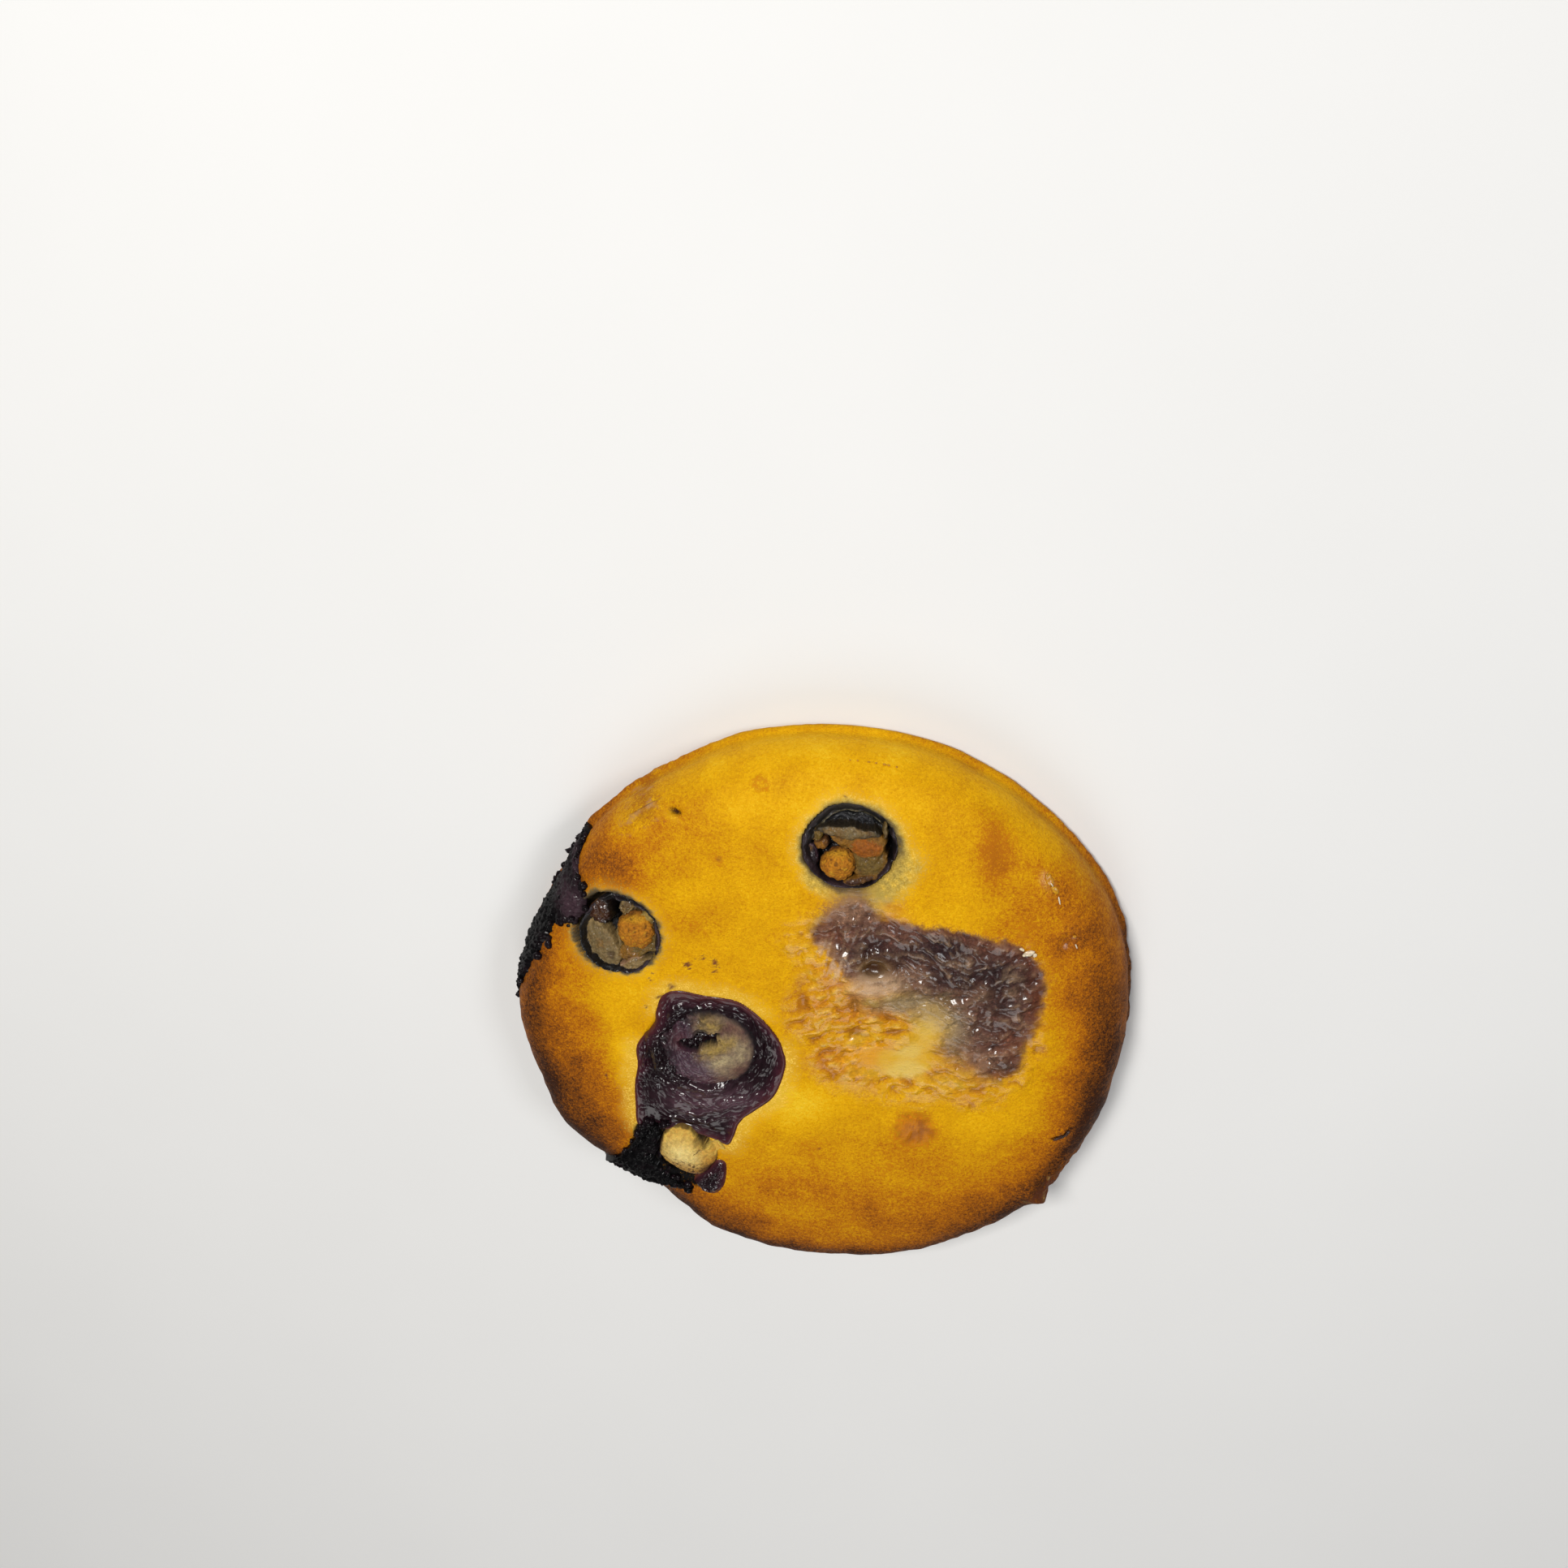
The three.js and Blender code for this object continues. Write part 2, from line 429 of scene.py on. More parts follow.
@dataclass
class Form:
    """The pancake's smooth form: a dome, a rolled shoulder, a thin lip and a flat underside.

    A place on it is an azimuth and a travel, the distance along the skin from the middle of the top.
    """

    radius: float
    thick: float
    section: tuple[Point, ...] = (
        (0.0, 1.0), (0.3, 0.99), (0.583, 0.96), (0.75, 0.913), (0.865, 0.84), (0.938, 0.72), (0.977, 0.53),
        (0.99, 0.33), (0.987, 0.16), (1.0, 0.08), (0.985, 0.02), (0.945, 0.0), (0.63, 0.0), (0.32, 0.0),
        (0.0, 0.0),
    )
    swells: tuple[Swell, ...] = tuple(
        Swell(*row) for row in (
            (65, 16, 0.7), (118, 14, -0.9), (150, 12, -1.5), (180, 12, 1.4), (203, 10, 1.5),
            (228, 12, -3.0), (295, 24, 1.0), (348, 16, -0.6), (27, 18, 0.9),
        )
    )
    relief: tuple[Spot, ...] = spots(
        (8, 12, 5, 5, 0, 0.8), (24, 6, 10, 10, 0, -0.5), (8, -3, 9, 9, 0, -0.6), (-38, -6, 7, 7, 0, 0.4),
        (-12, 33, 9, 9, 0, 0.3), (12, -33, 8, 8, 0, 0.3), (-2, -22, 8, 8, 0, -0.4),
    )

    def __post_init__(self) -> None:
        """Runs a smooth line through the section and measures it."""
        knots = np.array(self.section) * (self.radius, self.thick)
        gaps = np.sqrt(np.hypot(*np.diff(knots, axis=0).T))
        at = np.r_[0.0, np.cumsum(gaps)]
        slope = np.gradient(knots, at, axis=0)
        slope[0] = (slope[0][0], 0.0)
        slope[-4:, 1] = 0.0
        line = []
        for i in range(len(knots) - 1):
            share = np.linspace(0.0, 1.0, 40, endpoint=False)[:, None]
            gap = at[i + 1] - at[i]
            line.append(
                (2 * share**3 - 3 * share**2 + 1) * knots[i]
                + (share**3 - 2 * share**2 + share) * gap * slope[i]
                + (3 * share**2 - 2 * share**3) * knots[i + 1]
                + (share**3 - share**2) * gap * slope[i + 1]
            )
        self.line = np.vstack(line + [knots[-1:]])
        self.line[:, 1] = np.maximum(self.line[:, 1], 0.0)
        self.travels = np.r_[0.0, np.cumsum(np.hypot(*np.diff(self.line, axis=0).T))]
        lip = int(np.argmax(self.line[:, 0] * (self.line[:, 1] < self.thick * 0.14)))
        self.lip = float(self.travels[lip])
        self.rim = float(self.travels[np.argmax(self.line[:, 1] < self.thick * 0.84)])
        self.floor = float(self.travels[np.argmax(self.line[:, 1] <= 1e-6)])
        self.end = float(self.travels[-1])

    def travel(self, radius: Array) -> Array:
        """The travel to a distance from the middle, on the top."""
        top = self.travels <= self.rim + 6.0
        return np.interp(radius, self.line[top, 0], self.travels[top])

    def unroll(self, points: Sequence[Point]) -> list[Point]:
        """Turns places seen from above into places on the unrolled skin.

        Args:
            points: Places seen from above.

        Returns:
            The same places, each as far out as its travel.
        """
        plan = np.array(points, float)
        far = np.hypot(plan[:, 0], plan[:, 1])
        stretch = self.travel(far) / np.maximum(far, 1e-9)
        return [tuple(p) for p in plan * stretch[:, None]]

    def swell(self, azimuth: Array) -> Array:
        """Adds up the rim's bulges and dips.

        Args:
            azimuth: Directions, in radians.

        Returns:
            How far the rim stands out in each direction.
        """
        out = np.zeros(len(azimuth))
        for one in self.swells:
            out += one.outward * bell(turned_from(azimuth, one.azimuth), one.spread)
        return out

    def points(self, azimuth: Array, travel: Array) -> Array:
        """The places in space of places on the skin.

        Args:
            azimuth: Directions, in radians.
            travel: Distances along the skin.

        Returns:
            One row of X, Y and Z for each.
        """
        far = np.interp(travel, self.travels, self.line[:, 0])
        height = np.interp(travel, self.travels, self.line[:, 1])
        far = far + self.swell(azimuth) * ease(
            0.45 * self.radius, 0.95 * self.radius, far
        )
        x, y = far * np.cos(azimuth), far * np.sin(azimuth)
        top = ease(0.6 * self.thick, 0.9 * self.thick, height)
        return np.stack((x, y, height + heap(self.relief, x, y) * top), axis=1)

    def skin(self, u: Array, v: Array) -> tuple[Array, Array]:
        """The points and outward directions at places on the unrolled skin.

        Args:
            u: Places along X on the unrolled skin.
            v: Places along Y on the unrolled skin.

        Returns:
            Points, and directions of length 1.
        """
        step = 0.05

        def at(a: Array, b: Array) -> Array:
            """The points at unrolled places."""
            return self.points(np.arctan2(b, a), np.hypot(a, b))

        along = at(u + step, v) - at(u - step, v)
        across = at(u, v + step) - at(u, v - step)
        out = np.cross(along, across)
        out /= np.linalg.norm(out, axis=1)[:, None] + 1e-12
        return at(u, v), out


# ------------------------ blanks and pieces


@dataclass(frozen=True)
class Blank:
    """A mesh to shape: its bmesh and, for each vertex, a direction and a path from top to bottom pole."""

    mesh: Mesh
    azimuth: Array
    path: Array


TOP_SHARE = 0.34
SIDE_SHARE = 0.86


def round_blank(cuts: int) -> Blank:
    """A cube cut into a fine grid, read as a disc that wraps round to its underside.

    Args:
        cuts: Cuts along each edge of the cube.

    Returns:
        The blank. Its path runs from 0 at the top pole to 1 at the bottom pole.
    """
    mesh = bmesh.new()
    bmesh.ops.create_cube(mesh, size=2.0)
    bmesh.ops.subdivide_edges(mesh, edges=mesh.edges[:], cuts=cuts, use_grid_fill=True)
    place = np.array([vertex.co[:] for vertex in mesh.verts])
    x, y, z = place.T
    far = np.maximum(np.abs(x), np.abs(y))
    flat = np.maximum(far, 1e-9)
    along_x = np.abs(x) >= np.abs(y)
    quarter = math.pi / 4.0
    azimuth = np.where(along_x, quarter * y / flat, 0.0)
    azimuth = np.where(along_x & (x < 0.0), math.pi - quarter * y / flat, azimuth)
    azimuth = np.where(~along_x & (y > 0.0), 2.0 * quarter - quarter * x / flat, azimuth)
    azimuth = np.where(~along_x & (y <= 0.0), -2.0 * quarter + quarter * x / flat, azimuth)
    edge = 1 - 1e-6
    side = TOP_SHARE + (SIDE_SHARE - TOP_SHARE) * (1 - z) / 2.0
    path = np.where(far < edge, np.where(z > 0.0, TOP_SHARE * far, 1 - (1 - SIDE_SHARE) * far), side)
    return Blank(mesh, azimuth, path)


def plan_shares(path: Array, turned_in: float) -> tuple[Array, Array]:
    """Reads a blank's path for a piece that is sunk in the batter.

    Args:
        path: From 0 at the top pole to 1 at the bottom pole.
        turned_in: The share of the plan radius where the underside starts.

    Returns:
        Each vertex's share of the plan radius, and 1 where it is underneath.
    """
    rows = np.array([0.0, TOP_SHARE, 0.80, SIDE_SHARE, 1.0])
    share = np.interp(path, rows, np.array([0.0, 0.45, 1.0, turned_in, 0.0]))
    return share, ease(0.80, 0.82, path)


class Paint:
    """Colours laid over each other on a piece, one linear colour and one cover a vertex."""

    def __init__(self, count: int, base: Tint | None = None) -> None:
        """Starts bare, or with an even coat.

        Args:
            count: How many vertices.
            base: The first coat, if any.
        """
        self.colour = np.zeros((count, 3)) + np.array((base or Tint.GOLD).linear)
        self.cover = np.full(count, 0.0 if base is None else 1.0)

    def lay(self, tint: Tint, share: Array) -> "Paint":
        """Lays a coat.

        Args:
            tint: Its colour.
            share: Its cover, one value a vertex.

        Returns:
            The same paint, for the next coat.
        """
        share = np.clip(share, 0, 1)
        whole = share + self.cover * (1 - share)
        part = (share / np.maximum(whole, 1e-6))[:, None]
        self.colour = self.colour * (1 - part) + np.array(tint.linear) * part
        self.cover = whole
        return self


@dataclass(frozen=True)
class Workshop:
    """Turns shaped blanks into finished pieces. The origin is the layout's, in the frame's metres."""

    origin: Vector

    def finish(
        self,
        name: str,
        mesh: Mesh,
        points: Array,
        material: Material,
        slot: Slot,
        stands_for: Sequence[str] = (),
        marks: dict[str, Array] | None = None,
        paint: Paint | None = None,
    ) -> Piece:
        """Places and dresses a piece, links it on the body and hides the CAD nodes it stands for.

        Args:
            name: The piece's name.
            mesh: Its topology.
            points: Its vertices in layout millimetres.
            material: Its finish.
            slot: The record's slot; not used.
            stands_for: CAD nodes that the piece is shown for.
            marks: Named masks, one value a vertex.
            paint: Its own colours, if any.

        Returns:
            The finished object.
        """
        bmesh.ops.recalc_face_normals(mesh, faces=mesh.faces[:])
        data = bpy.data.meshes.new(name)
        mesh.to_mesh(data)
        mesh.free()
        placed = points * METRE + np.array(self.origin)
        data.vertices.foreach_set("co", placed.astype(np.float32).ravel())
        for mark, values in (marks or {}).items():
            layer = data.attributes.new(mark, "FLOAT", "POINT")
            layer.data.foreach_set("value", values.astype(np.float32))
        if paint is not None:
            layer = data.attributes.new("tint", "FLOAT_COLOR", "POINT")
            rgba = np.c_[paint.colour, np.ones(len(placed))]
            layer.data.foreach_set("color", rgba.astype(np.float32).ravel())
        data.shade_smooth()
        data.materials.append(material)
        data.update()
        piece = bpy.data.objects.new(name, data)
        bpy.context.scene.collection.objects.link(piece)
        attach(piece, BODY)
        if stands_for:
            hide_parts(*stands_for)
        LOG.info("%s: %d faces, %.1f mm tall", name, len(data.polygons), placed[:, 2].max() / METRE)
        return piece


# ------------------------ finishes

Socket = bpy.types.NodeSocket
Value = Socket | float | tuple


class Graph:
    """Builds one material's nodes in short steps. Patterns are sized in millimetres."""

    def __init__(self, name: str) -> None:
        """Starts a material with its shader and object coordinates.

        Args:
            name: The material's name.
        """
        self.material = bpy.data.materials.new(name)
        self.material.use_nodes = True
        self.nodes = self.material.node_tree.nodes
        self.links = self.material.node_tree.links
        self.shader = self.nodes["Principled BSDF"]
        place = self.nodes.new("ShaderNodeTexCoord")
        scaled = self.nodes.new("ShaderNodeVectorMath")
        scaled.operation = "SCALE"
        scaled.inputs["Scale"].default_value = 1.0 / METRE
        self.links.new(place.outputs["Object"], scaled.inputs[0])
        self.place = scaled.outputs[0]

    def put(self, socket: Socket, value: Value) -> None:
        """Links a socket, or sets its value.

        Args:
            socket: The socket to feed.
            value: What feeds it.
        """
        if isinstance(value, bpy.types.NodeSocket):
            self.links.new(value, socket)
        elif isinstance(value, tuple) and len(value) == 3 and socket.type == "RGBA":
            socket.default_value = (*value, 1.0)
        else:
            socket.default_value = value

    def mark(self, name: str) -> Socket:
        """Reads a mask of the piece."""
        return self.attribute(name, "Fac")

    def tint(self, shade: Socket) -> Socket:
        """Reads the piece's own colours, lighter or darker by a shade round 1."""
        grey = self.mix(1.0, (1.0, 1.0, 1.0), shade, "MULTIPLY")
        return self.mix(1.0, self.attribute("tint", "Color"), grey, "MULTIPLY")

    def attribute(self, name: str, output: str) -> Socket:
        """Reads a vertex attribute.

        Args:
            name: The attribute's name.
            output: Which output to read.

        Returns:
            The output.
        """
        node = self.nodes.new("ShaderNodeAttribute")
        node.attribute_name = name
        return node.outputs[output]

    def stretched(self, stretch: tuple[float, float, float]) -> Socket:
        """Scales the coordinates.

        Args:
            stretch: The scale of each axis.

        Returns:
            The scaled coordinates.
        """
        node = self.nodes.new("ShaderNodeMapping")
        self.put(node.inputs["Vector"], self.place)
        node.inputs["Scale"].default_value = stretch
        return node.outputs["Vector"]

    def noise(
        self,
        size: float,
        detail: float = 2.0,
        rough: float = 0.55,
        twist: float = 0.0,
        place: Socket | None = None,
    ) -> Socket:
        """Cloudy noise, from 0 to 1.

        Args:
            size: The width of its lumps.
            detail: Finer layers.
            rough: The height of the finer layers.
            twist: How far it is stirred.
            place: Coordinates other than the piece's own.

        Returns:
            The noise.
        """
        node = self.nodes.new("ShaderNodeTexNoise")
        self.put(node.inputs["Vector"], place or self.place)
        node.inputs["Scale"].default_value = 1.0 / size
        node.inputs["Detail"].default_value = detail
        node.inputs["Roughness"].default_value = rough
        node.inputs["Distortion"].default_value = twist
        return node.outputs["Fac"]

    def sum(self, operation: str, a: Value, b: Value = 0.0, clamp: bool = False) -> Socket:
        """Does one step of arithmetic.

        Args:
            operation: The step, as the node names it.
            a: The first number.
            b: The second number.
            clamp: Whether the result stays from 0 to 1.

        Returns:
            The result.
        """
        node = self.nodes.new("ShaderNodeMath")
        node.operation = operation
        node.use_clamp = clamp
        self.put(node.inputs[0], a)
        self.put(node.inputs[1], b)
        return node.outputs[0]

    def band(self, value: Value, low: float, high: float, start: float = 0.0, end: float = 1.0) -> Socket:
        """Eases from one number to another.

        Args:
            value: What the result follows.
            low: Where it starts.
            high: Where it ends.
            start: The result at low.
            end: The result at high.

        Returns:
            The eased number.
        """
        node = self.nodes.new("ShaderNodeMapRange")
        node.interpolation_type = "SMOOTHSTEP"
        self.put(node.inputs["Value"], value)
        for name, number in zip(("From Min", "From Max", "To Min", "To Max"), (low, high, start, end)):
            node.inputs[name].default_value = number
        return node.outputs["Result"]

    def mix(self, share: Value, a: Value, b: Value, blend: str = "MIX") -> Socket:
        """Mixes two colours.

        Args:
            share: How much of the second.
            a: The first colour.
            b: The second colour.
            blend: How they mix, as the node names it.

        Returns:
            The mixed colour.
        """
        node = self.nodes.new("ShaderNodeMix")
        node.data_type = "RGBA"
        node.blend_type = blend
        self.put(node.inputs["Factor"], share)
        self.put(node.inputs[6], a)
        self.put(node.inputs[7], b)
        return node.outputs[2]

    def ramp(self, value: Socket, stops: Sequence[tuple[float, Tint]]) -> Socket:
        """Turns a value into a colour.

        Args:
            value: 0 to 1.
            stops: Colours and where they lie.

        Returns:
            The colour.
        """
        node = self.nodes.new("ShaderNodeValToRGB")
        node.color_ramp.interpolation = "LINEAR"
        elements = node.color_ramp.elements
        elements[0].position, elements[1].position = stops[0][0], stops[-1][0]
        for place, _ in stops[1:-1]:
            elements.new(place)
        for element, (_, tint) in zip(elements, stops):
            element.color = (*tint.linear, 1.0)
        self.put(node.inputs[0], value)
        return node.outputs["Color"]

    def bump(self, height: Value, distance: float, under: Socket | None = None) -> Socket:
        """Adds relief.

        Args:
            height: 0 to 1.
            distance: Millimetres from 0 to 1.
            under: Relief to add to.

        Returns:
            The normal.
        """
        node = self.nodes.new("ShaderNodeBump")
        node.inputs["Strength"].default_value = 1.0
        node.inputs["Distance"].default_value = distance * METRE
        self.put(node.inputs["Height"], height)
        if under is not None:
            self.put(node.inputs["Normal"], under)
        return node.outputs["Normal"]

    def done(self, **inputs: Value) -> Material:
        """Feeds the shader.

        Args:
            **inputs: Its sockets by name, with their spaces as underscores.

        Returns:
            The finished material.
        """
        for name, value in inputs.items():
            self.put(self.shader.inputs[name.replace("_", " ")], value)
        return self.material


@dataclass(frozen=True)
class BakedCrust:
    """The pancake's skin: yellow to dark brown by browning and painted rim shade; fruit, custard, soot,
    painted shade and highlights over it.
    """

    grain: float = 0.5
    mottle: float = 6.0

    def material(self) -> Material:
        """Builds the finish."""
        g = Graph("baked_crust")
        # The browning mark also carries the painted shade of the rim.
        browning_and_shade, wet, cover_mark = g.mark("browning_and_shade"), g.mark("wet"), g.mark("cover")
        fine = g.noise(self.grain, 2.0, 0.6)
        finer = g.noise(self.grain * 0.42, 1.0, 0.5)
        broad = g.noise(self.mottle, 3.0, 0.55, 0.4)
        loose = g.sum("SUBTRACT", fine, 0.5)
        dust = g.sum(
            "ADD", g.sum("MULTIPLY", loose, 0.5), g.sum("MULTIPLY", g.sum("SUBTRACT", finer, 0.5), 0.5)
        )
        speckle = g.sum("MULTIPLY", dust, g.band(browning_and_shade, 0.15, 0.8, 0.56, 0.92))
        clouds = g.sum("MULTIPLY", g.sum("SUBTRACT", broad, 0.5), g.band(browning_and_shade, 0.2, 0.7, 0.26, 0.38))
        level = g.sum("ADD", browning_and_shade, g.sum("ADD", speckle, clouds), clamp=True)
        colour = g.ramp(
            level,
            (
                (0.0, Tint.CREAM),
                (0.12, Tint.PALE_YELLOW),
                (0.30, Tint.YELLOW),
                (0.46, Tint.GOLD),
                (0.62, Tint.ORANGE),
                (0.76, Tint.TAN),
                (0.90, Tint.BROWN),
                (1.0, Tint.DARK_BROWN),
            ),
        )
        edge = g.sum("ADD", cover_mark, g.sum("MULTIPLY", dust, g.band(wet, 0.1, 0.8, 1.5, 0.25)))
        edge = g.sum("MULTIPLY", g.band(edge, 0.04, 0.94), g.band(cover_mark, 0.0, 0.10))
        shade = g.band(g.noise(0.8, 3.0, 0.6, 0.8, g.stretched((0.8, 1.1, 1.0))), 0.25, 0.75, 0.66, 1.30)
        # Painted highlights: fine threads brighten the tint in the wet places, most of all on the juice
        # stain, standing in for small glints.
        threads = g.noise(0.55, 3.0, 0.62, 0.3, g.stretched((0.85, 1.05, 1.0)))
        shade = g.sum("MULTIPLY", shade, g.band(threads, 0.56, 0.72, 0.95, 1.95))
        shade = g.sum("POWER", shade, g.band(wet, 0.88, 0.99, 0.55, 1.0))
        shade = g.sum("MULTIPLY", g.sum("SUBTRACT", shade, 1.0), g.band(wet, 0.5, 0.85))
        dusting = g.band(dust, -0.25, 0.25, -0.42, 0.46)
        dusting = g.sum("MULTIPLY", dusting, g.band(wet, 0.1, 0.4, 1.0, 0.0))
        shade = g.sum("ADD", 1.0, g.sum("ADD", shade, dusting))
        colour = g.mix(edge, colour, g.tint(shade))
        gloss = g.sum("ADD", g.band(wet, 0.0, 1.0, 0.66, 0.36), g.sum("MULTIPLY", loose, 0.3), clamp=True)
        relief = g.bump(fine, 0.14)
        relief = g.bump(finer, 0.06, relief)
        jelly = g.noise(0.85, 2.0, 0.5, 0.4, g.stretched((0.75, 1.15, 1.0)))
        relief = g.bump(g.sum("MULTIPLY", jelly, wet), 0.38, relief)
        relief = g.bump(g.sum("MULTIPLY", threads, wet), 0.10, relief)
        return g.done(
            Base_Color=colour,
            Roughness=gloss,
            Normal=relief,
            Specular_IOR_Level=0.10,
            Coat_Weight=g.sum("ADD", g.band(wet, 0.1, 0.9, 0.0, 0.5), g.band(wet, 0.9, 0.99, 0.0, 0.25)),
            Coat_Roughness=0.15,
            Subsurface_Weight=0.06,
            Subsurface_Radius=(1.0, 0.45, 0.1),
            Subsurface_Scale=0.0012,
        )


@dataclass(frozen=True)
class Fruit:
    """Moist fruit, jam or crumb, tinted by its own colours."""

    name: str
    grain: float = 0.5
    relief: float = 0.12
    rough: float = 0.32
    coat: float = 0.5
    contrast: float = 0.35
    soft: float = 0.1
    shine: float = 0.3
    film: float = 0.10

    def material(self) -> Material:
        """Builds the finish."""
        g = Graph(self.name)
        fine = g.noise(self.grain, 4.0, 0.65, 0.3)
        tiny = g.noise(self.grain * 0.35, 2.0, 0.6)
        shade = g.band(fine, 0.25, 0.75, 1 - self.contrast, 1 + self.contrast)
        dry = g.mark("dry")
        gloss = g.sum(
            "ADD", g.band(dry, 0.0, 1.0, self.rough, 0.8), g.sum("MULTIPLY", tiny, 0.12), clamp=True
        )
        relief = g.bump(fine, self.relief)
        relief = g.bump(tiny, self.relief * 0.4, relief)
        return g.done(
            Base_Color=g.tint(shade),
            Roughness=gloss,
            Normal=relief,
            Specular_IOR_Level=self.shine,
            Coat_Weight=g.band(dry, 0.0, 0.7, self.coat, 0.0),
            Coat_Roughness=self.film,
            Subsurface_Weight=self.soft,
            Subsurface_Radius=(1.0, 0.5, 0.3),
            Subsurface_Scale=0.001,
        )


# ------------------------ the batter


@dataclass(frozen=True)
class Ground:
    """The batter's skin as it is shaped and painted, one value a vertex.

    Places are given from above (x, y), stirred (wx, wy) and unrolled (u, v, flat). The crown is the top, and
    upper reaches a little further down. Then come noise for ragged edges, the cover of the torn wet patch and
    of the juice stain, the larger and smaller lumps, broad swells, calm, which is near 0 where the custard
    lies smooth, and the cover of the pit, of the pale shelf below it and of the short cracks.
    """

    x: Array
    y: Array
    wx: Array
    wy: Array
    u: Array
    v: Array
    flat: Array
    crown: Array
    upper: Array
    ragged: Array
    wet: Array
    stain: Array
    cobbles: Array
    pebbles: Array
    swells: Array
    calm: Array
    pit: Array
    shelf: Array
    cracks: Array

    def patch(self, *rows: Sequence[float]) -> Array:
        """Cover of ovals with stirred edges, each row in the order of Spot's fields."""
        return cover(spots(*rows), self.wx, self.wy)

    def blister(self, width: float) -> Array:
        """The ring of a dried bubble near the far rim."""
        return bell(np.hypot(self.x + 6.5, (self.y - 43.5) * 1.4) - 1.1, width)


@dataclass
class Batter:
    """The pancake's batter: one baked body with pockets for the fruit and a torn wet patch."""

    form: Form
    pool: Outline
    cuts: int = 126
    bed: float = 2.3
    stain: tuple[Point, ...] = (
        (1, 24), (3, 26.5), (8, 28), (10, 25), (12, 23.2), (16, 22), (22, 21.2), (27, 19.6), (31, 18),
        (33.6, 15), (34.5, 11.5), (34, 7), (33.5, 3), (31.5, -1), (31, -4.5), (29, -6.5), (25, -6.8),
        (22.5, -5), (20, -2.5), (17.5, -0.5), (17, 2), (14.5, 5), (14, 9), (10, 10.5), (6, 12), (3.5, 14.5),
        (2.5, 17), (0, 19), (-0.5, 21.5),
    )
    torn: tuple[Point, ...] = (
        (-6, 20), (-4, 13), (-5, 5), (-3, -2), (0, -8), (6, -10.5), (14, -12), (20, -12), (27, -11.5),
        (31, -9), (34, -5), (36, 6), (36, 13), (32, 19), (20, 22), (10, 28), (1, 26),
    )
    burnt: tuple[Point, ...] = (
        (-29.6, -16.4), (-25.0, -16.6), (-26.4, -20), (-26.6, -24), (-24, -27.6), (-21, -29.4),
        (-22.5, -30.6), (-28, -30.5), (-33, -33), (-37, -29), (-33.6, -25), (-31, -20),
    )

    def height(self, u: Array, v: Array) -> Array:
        """The skin's own unevenness, away from the fruit.

        Args:
            u: Places along X on the unrolled skin.
            v: Places along Y on the unrolled skin.

        Returns:
            Millimetres outward.
        """
        flat = plane(u, v)
        return 0.24 * Texture(3).layered(flat, 13.0, 3) + 0.07 * Texture(4).layered(flat, 3.2, 3)

    def travels(self, path: Array) -> Array:
        """Spreads the blank's path over the skin, with most of it on the top.

        Args:
            path: The blank's path, from 0 to 1.

        Returns:
            Distances along the skin.
        """
        form = self.form
        rows = np.array([0.0, TOP_SHARE, 0.60, 0.78, SIDE_SHARE, 1.0])
        reach = np.array([0.0, 26.0, 45.0, form.lip - 0.5, form.floor + 7.0, form.end])
        return np.interp(path, rows, reach)

    @staticmethod
    def gather(azimuth: Array, travel: Array) -> tuple[Array, Array]:
        """Unrolls the mesh, drawn closer together under the torn patch, where the detail is finest.

        Args:
            azimuth: Directions, in radians.
            travel: Distances along the skin.

        Returns:
            Places along X and Y on the unrolled skin.
        """
        x, y, reach, pull, end = 13.0, 6.0, 20.0, 0.32, 44.0
        u, v = travel * np.cos(azimuth), travel * np.sin(azimuth)
        near = travel < end
        share = 1 - pull * np.exp(-(((u - x) ** 2 + (v - y) ** 2) / reach**2))
        return np.where(near, x + (u - x) * share, u), np.where(near, y + (v - y) * share, v)

    def build(self, shop: Workshop, pockets: Sequence["Berry"]) -> Piece:
        """Shapes and dresses the body.

        Args:
            shop: Finishes the piece.
            pockets: The berries to leave room for.

        Returns:
            The body.
        """
        form = self.form
        blank = round_blank(self.cuts)
        u, v = self.gather(blank.azimuth, self.travels(blank.path))
        travel = np.hypot(u, v)
        points, out = form.skin(u, v)
        out[travel > form.floor] = (0.0, 0.0, -1.0)
        top = 1 - ease(form.lip + 0.3, form.floor + 0.5, travel)
        ground = self.ground(points, u, v)
        lift = self.height(u, v) * top
        self.lift_torn(lift, ground)
        paint = Paint(len(u))
        self.sink(lift, paint, ground, pockets)
        self.lift_rim(lift, blank.azimuth, travel, points, top)
        points = points + out * lift[:, None]
        points[:, 2] = np.maximum(points[:, 2], 0.0)
        sole = plane(ground.x, ground.y)
        base = ease(form.floor, form.floor + 2.0, travel)
        pores = ease(0.70, 0.95, Texture(13).grains(sole, 3.0))
        pores *= ease(-0.15, 0.35, Texture(21).layered(sole, 8.0, 2))
        hollows = np.clip(0.3 * Texture(14).layered(sole, 5.0, 3), 0.0, 0.3)
        points[:, 2] += base * (0.35 * pores + hollows)
        self.colour_torn(paint, ground)
        self.colour_crust(paint, ground)
        damp = np.maximum(ground.wet * 0.9, ground.stain) * (0.46 + 0.54 * ground.calm)
        # The browning mark holds real browning and the painted shade of the rim.
        marks = {
            "browning_and_shade": self.browning_and_shade(ground, travel, base * pores),
            "cover": paint.cover * top,
            "wet": np.clip(damp + self.glaze(ground.x, ground.y), 0, 1) * ground.crown,
        }
        finish = BakedCrust().material()
        nodes = ("pancake_body",)
        return shop.finish("pancake_batter", blank.mesh, points, finish, Slot.BATTER, nodes, marks, paint)

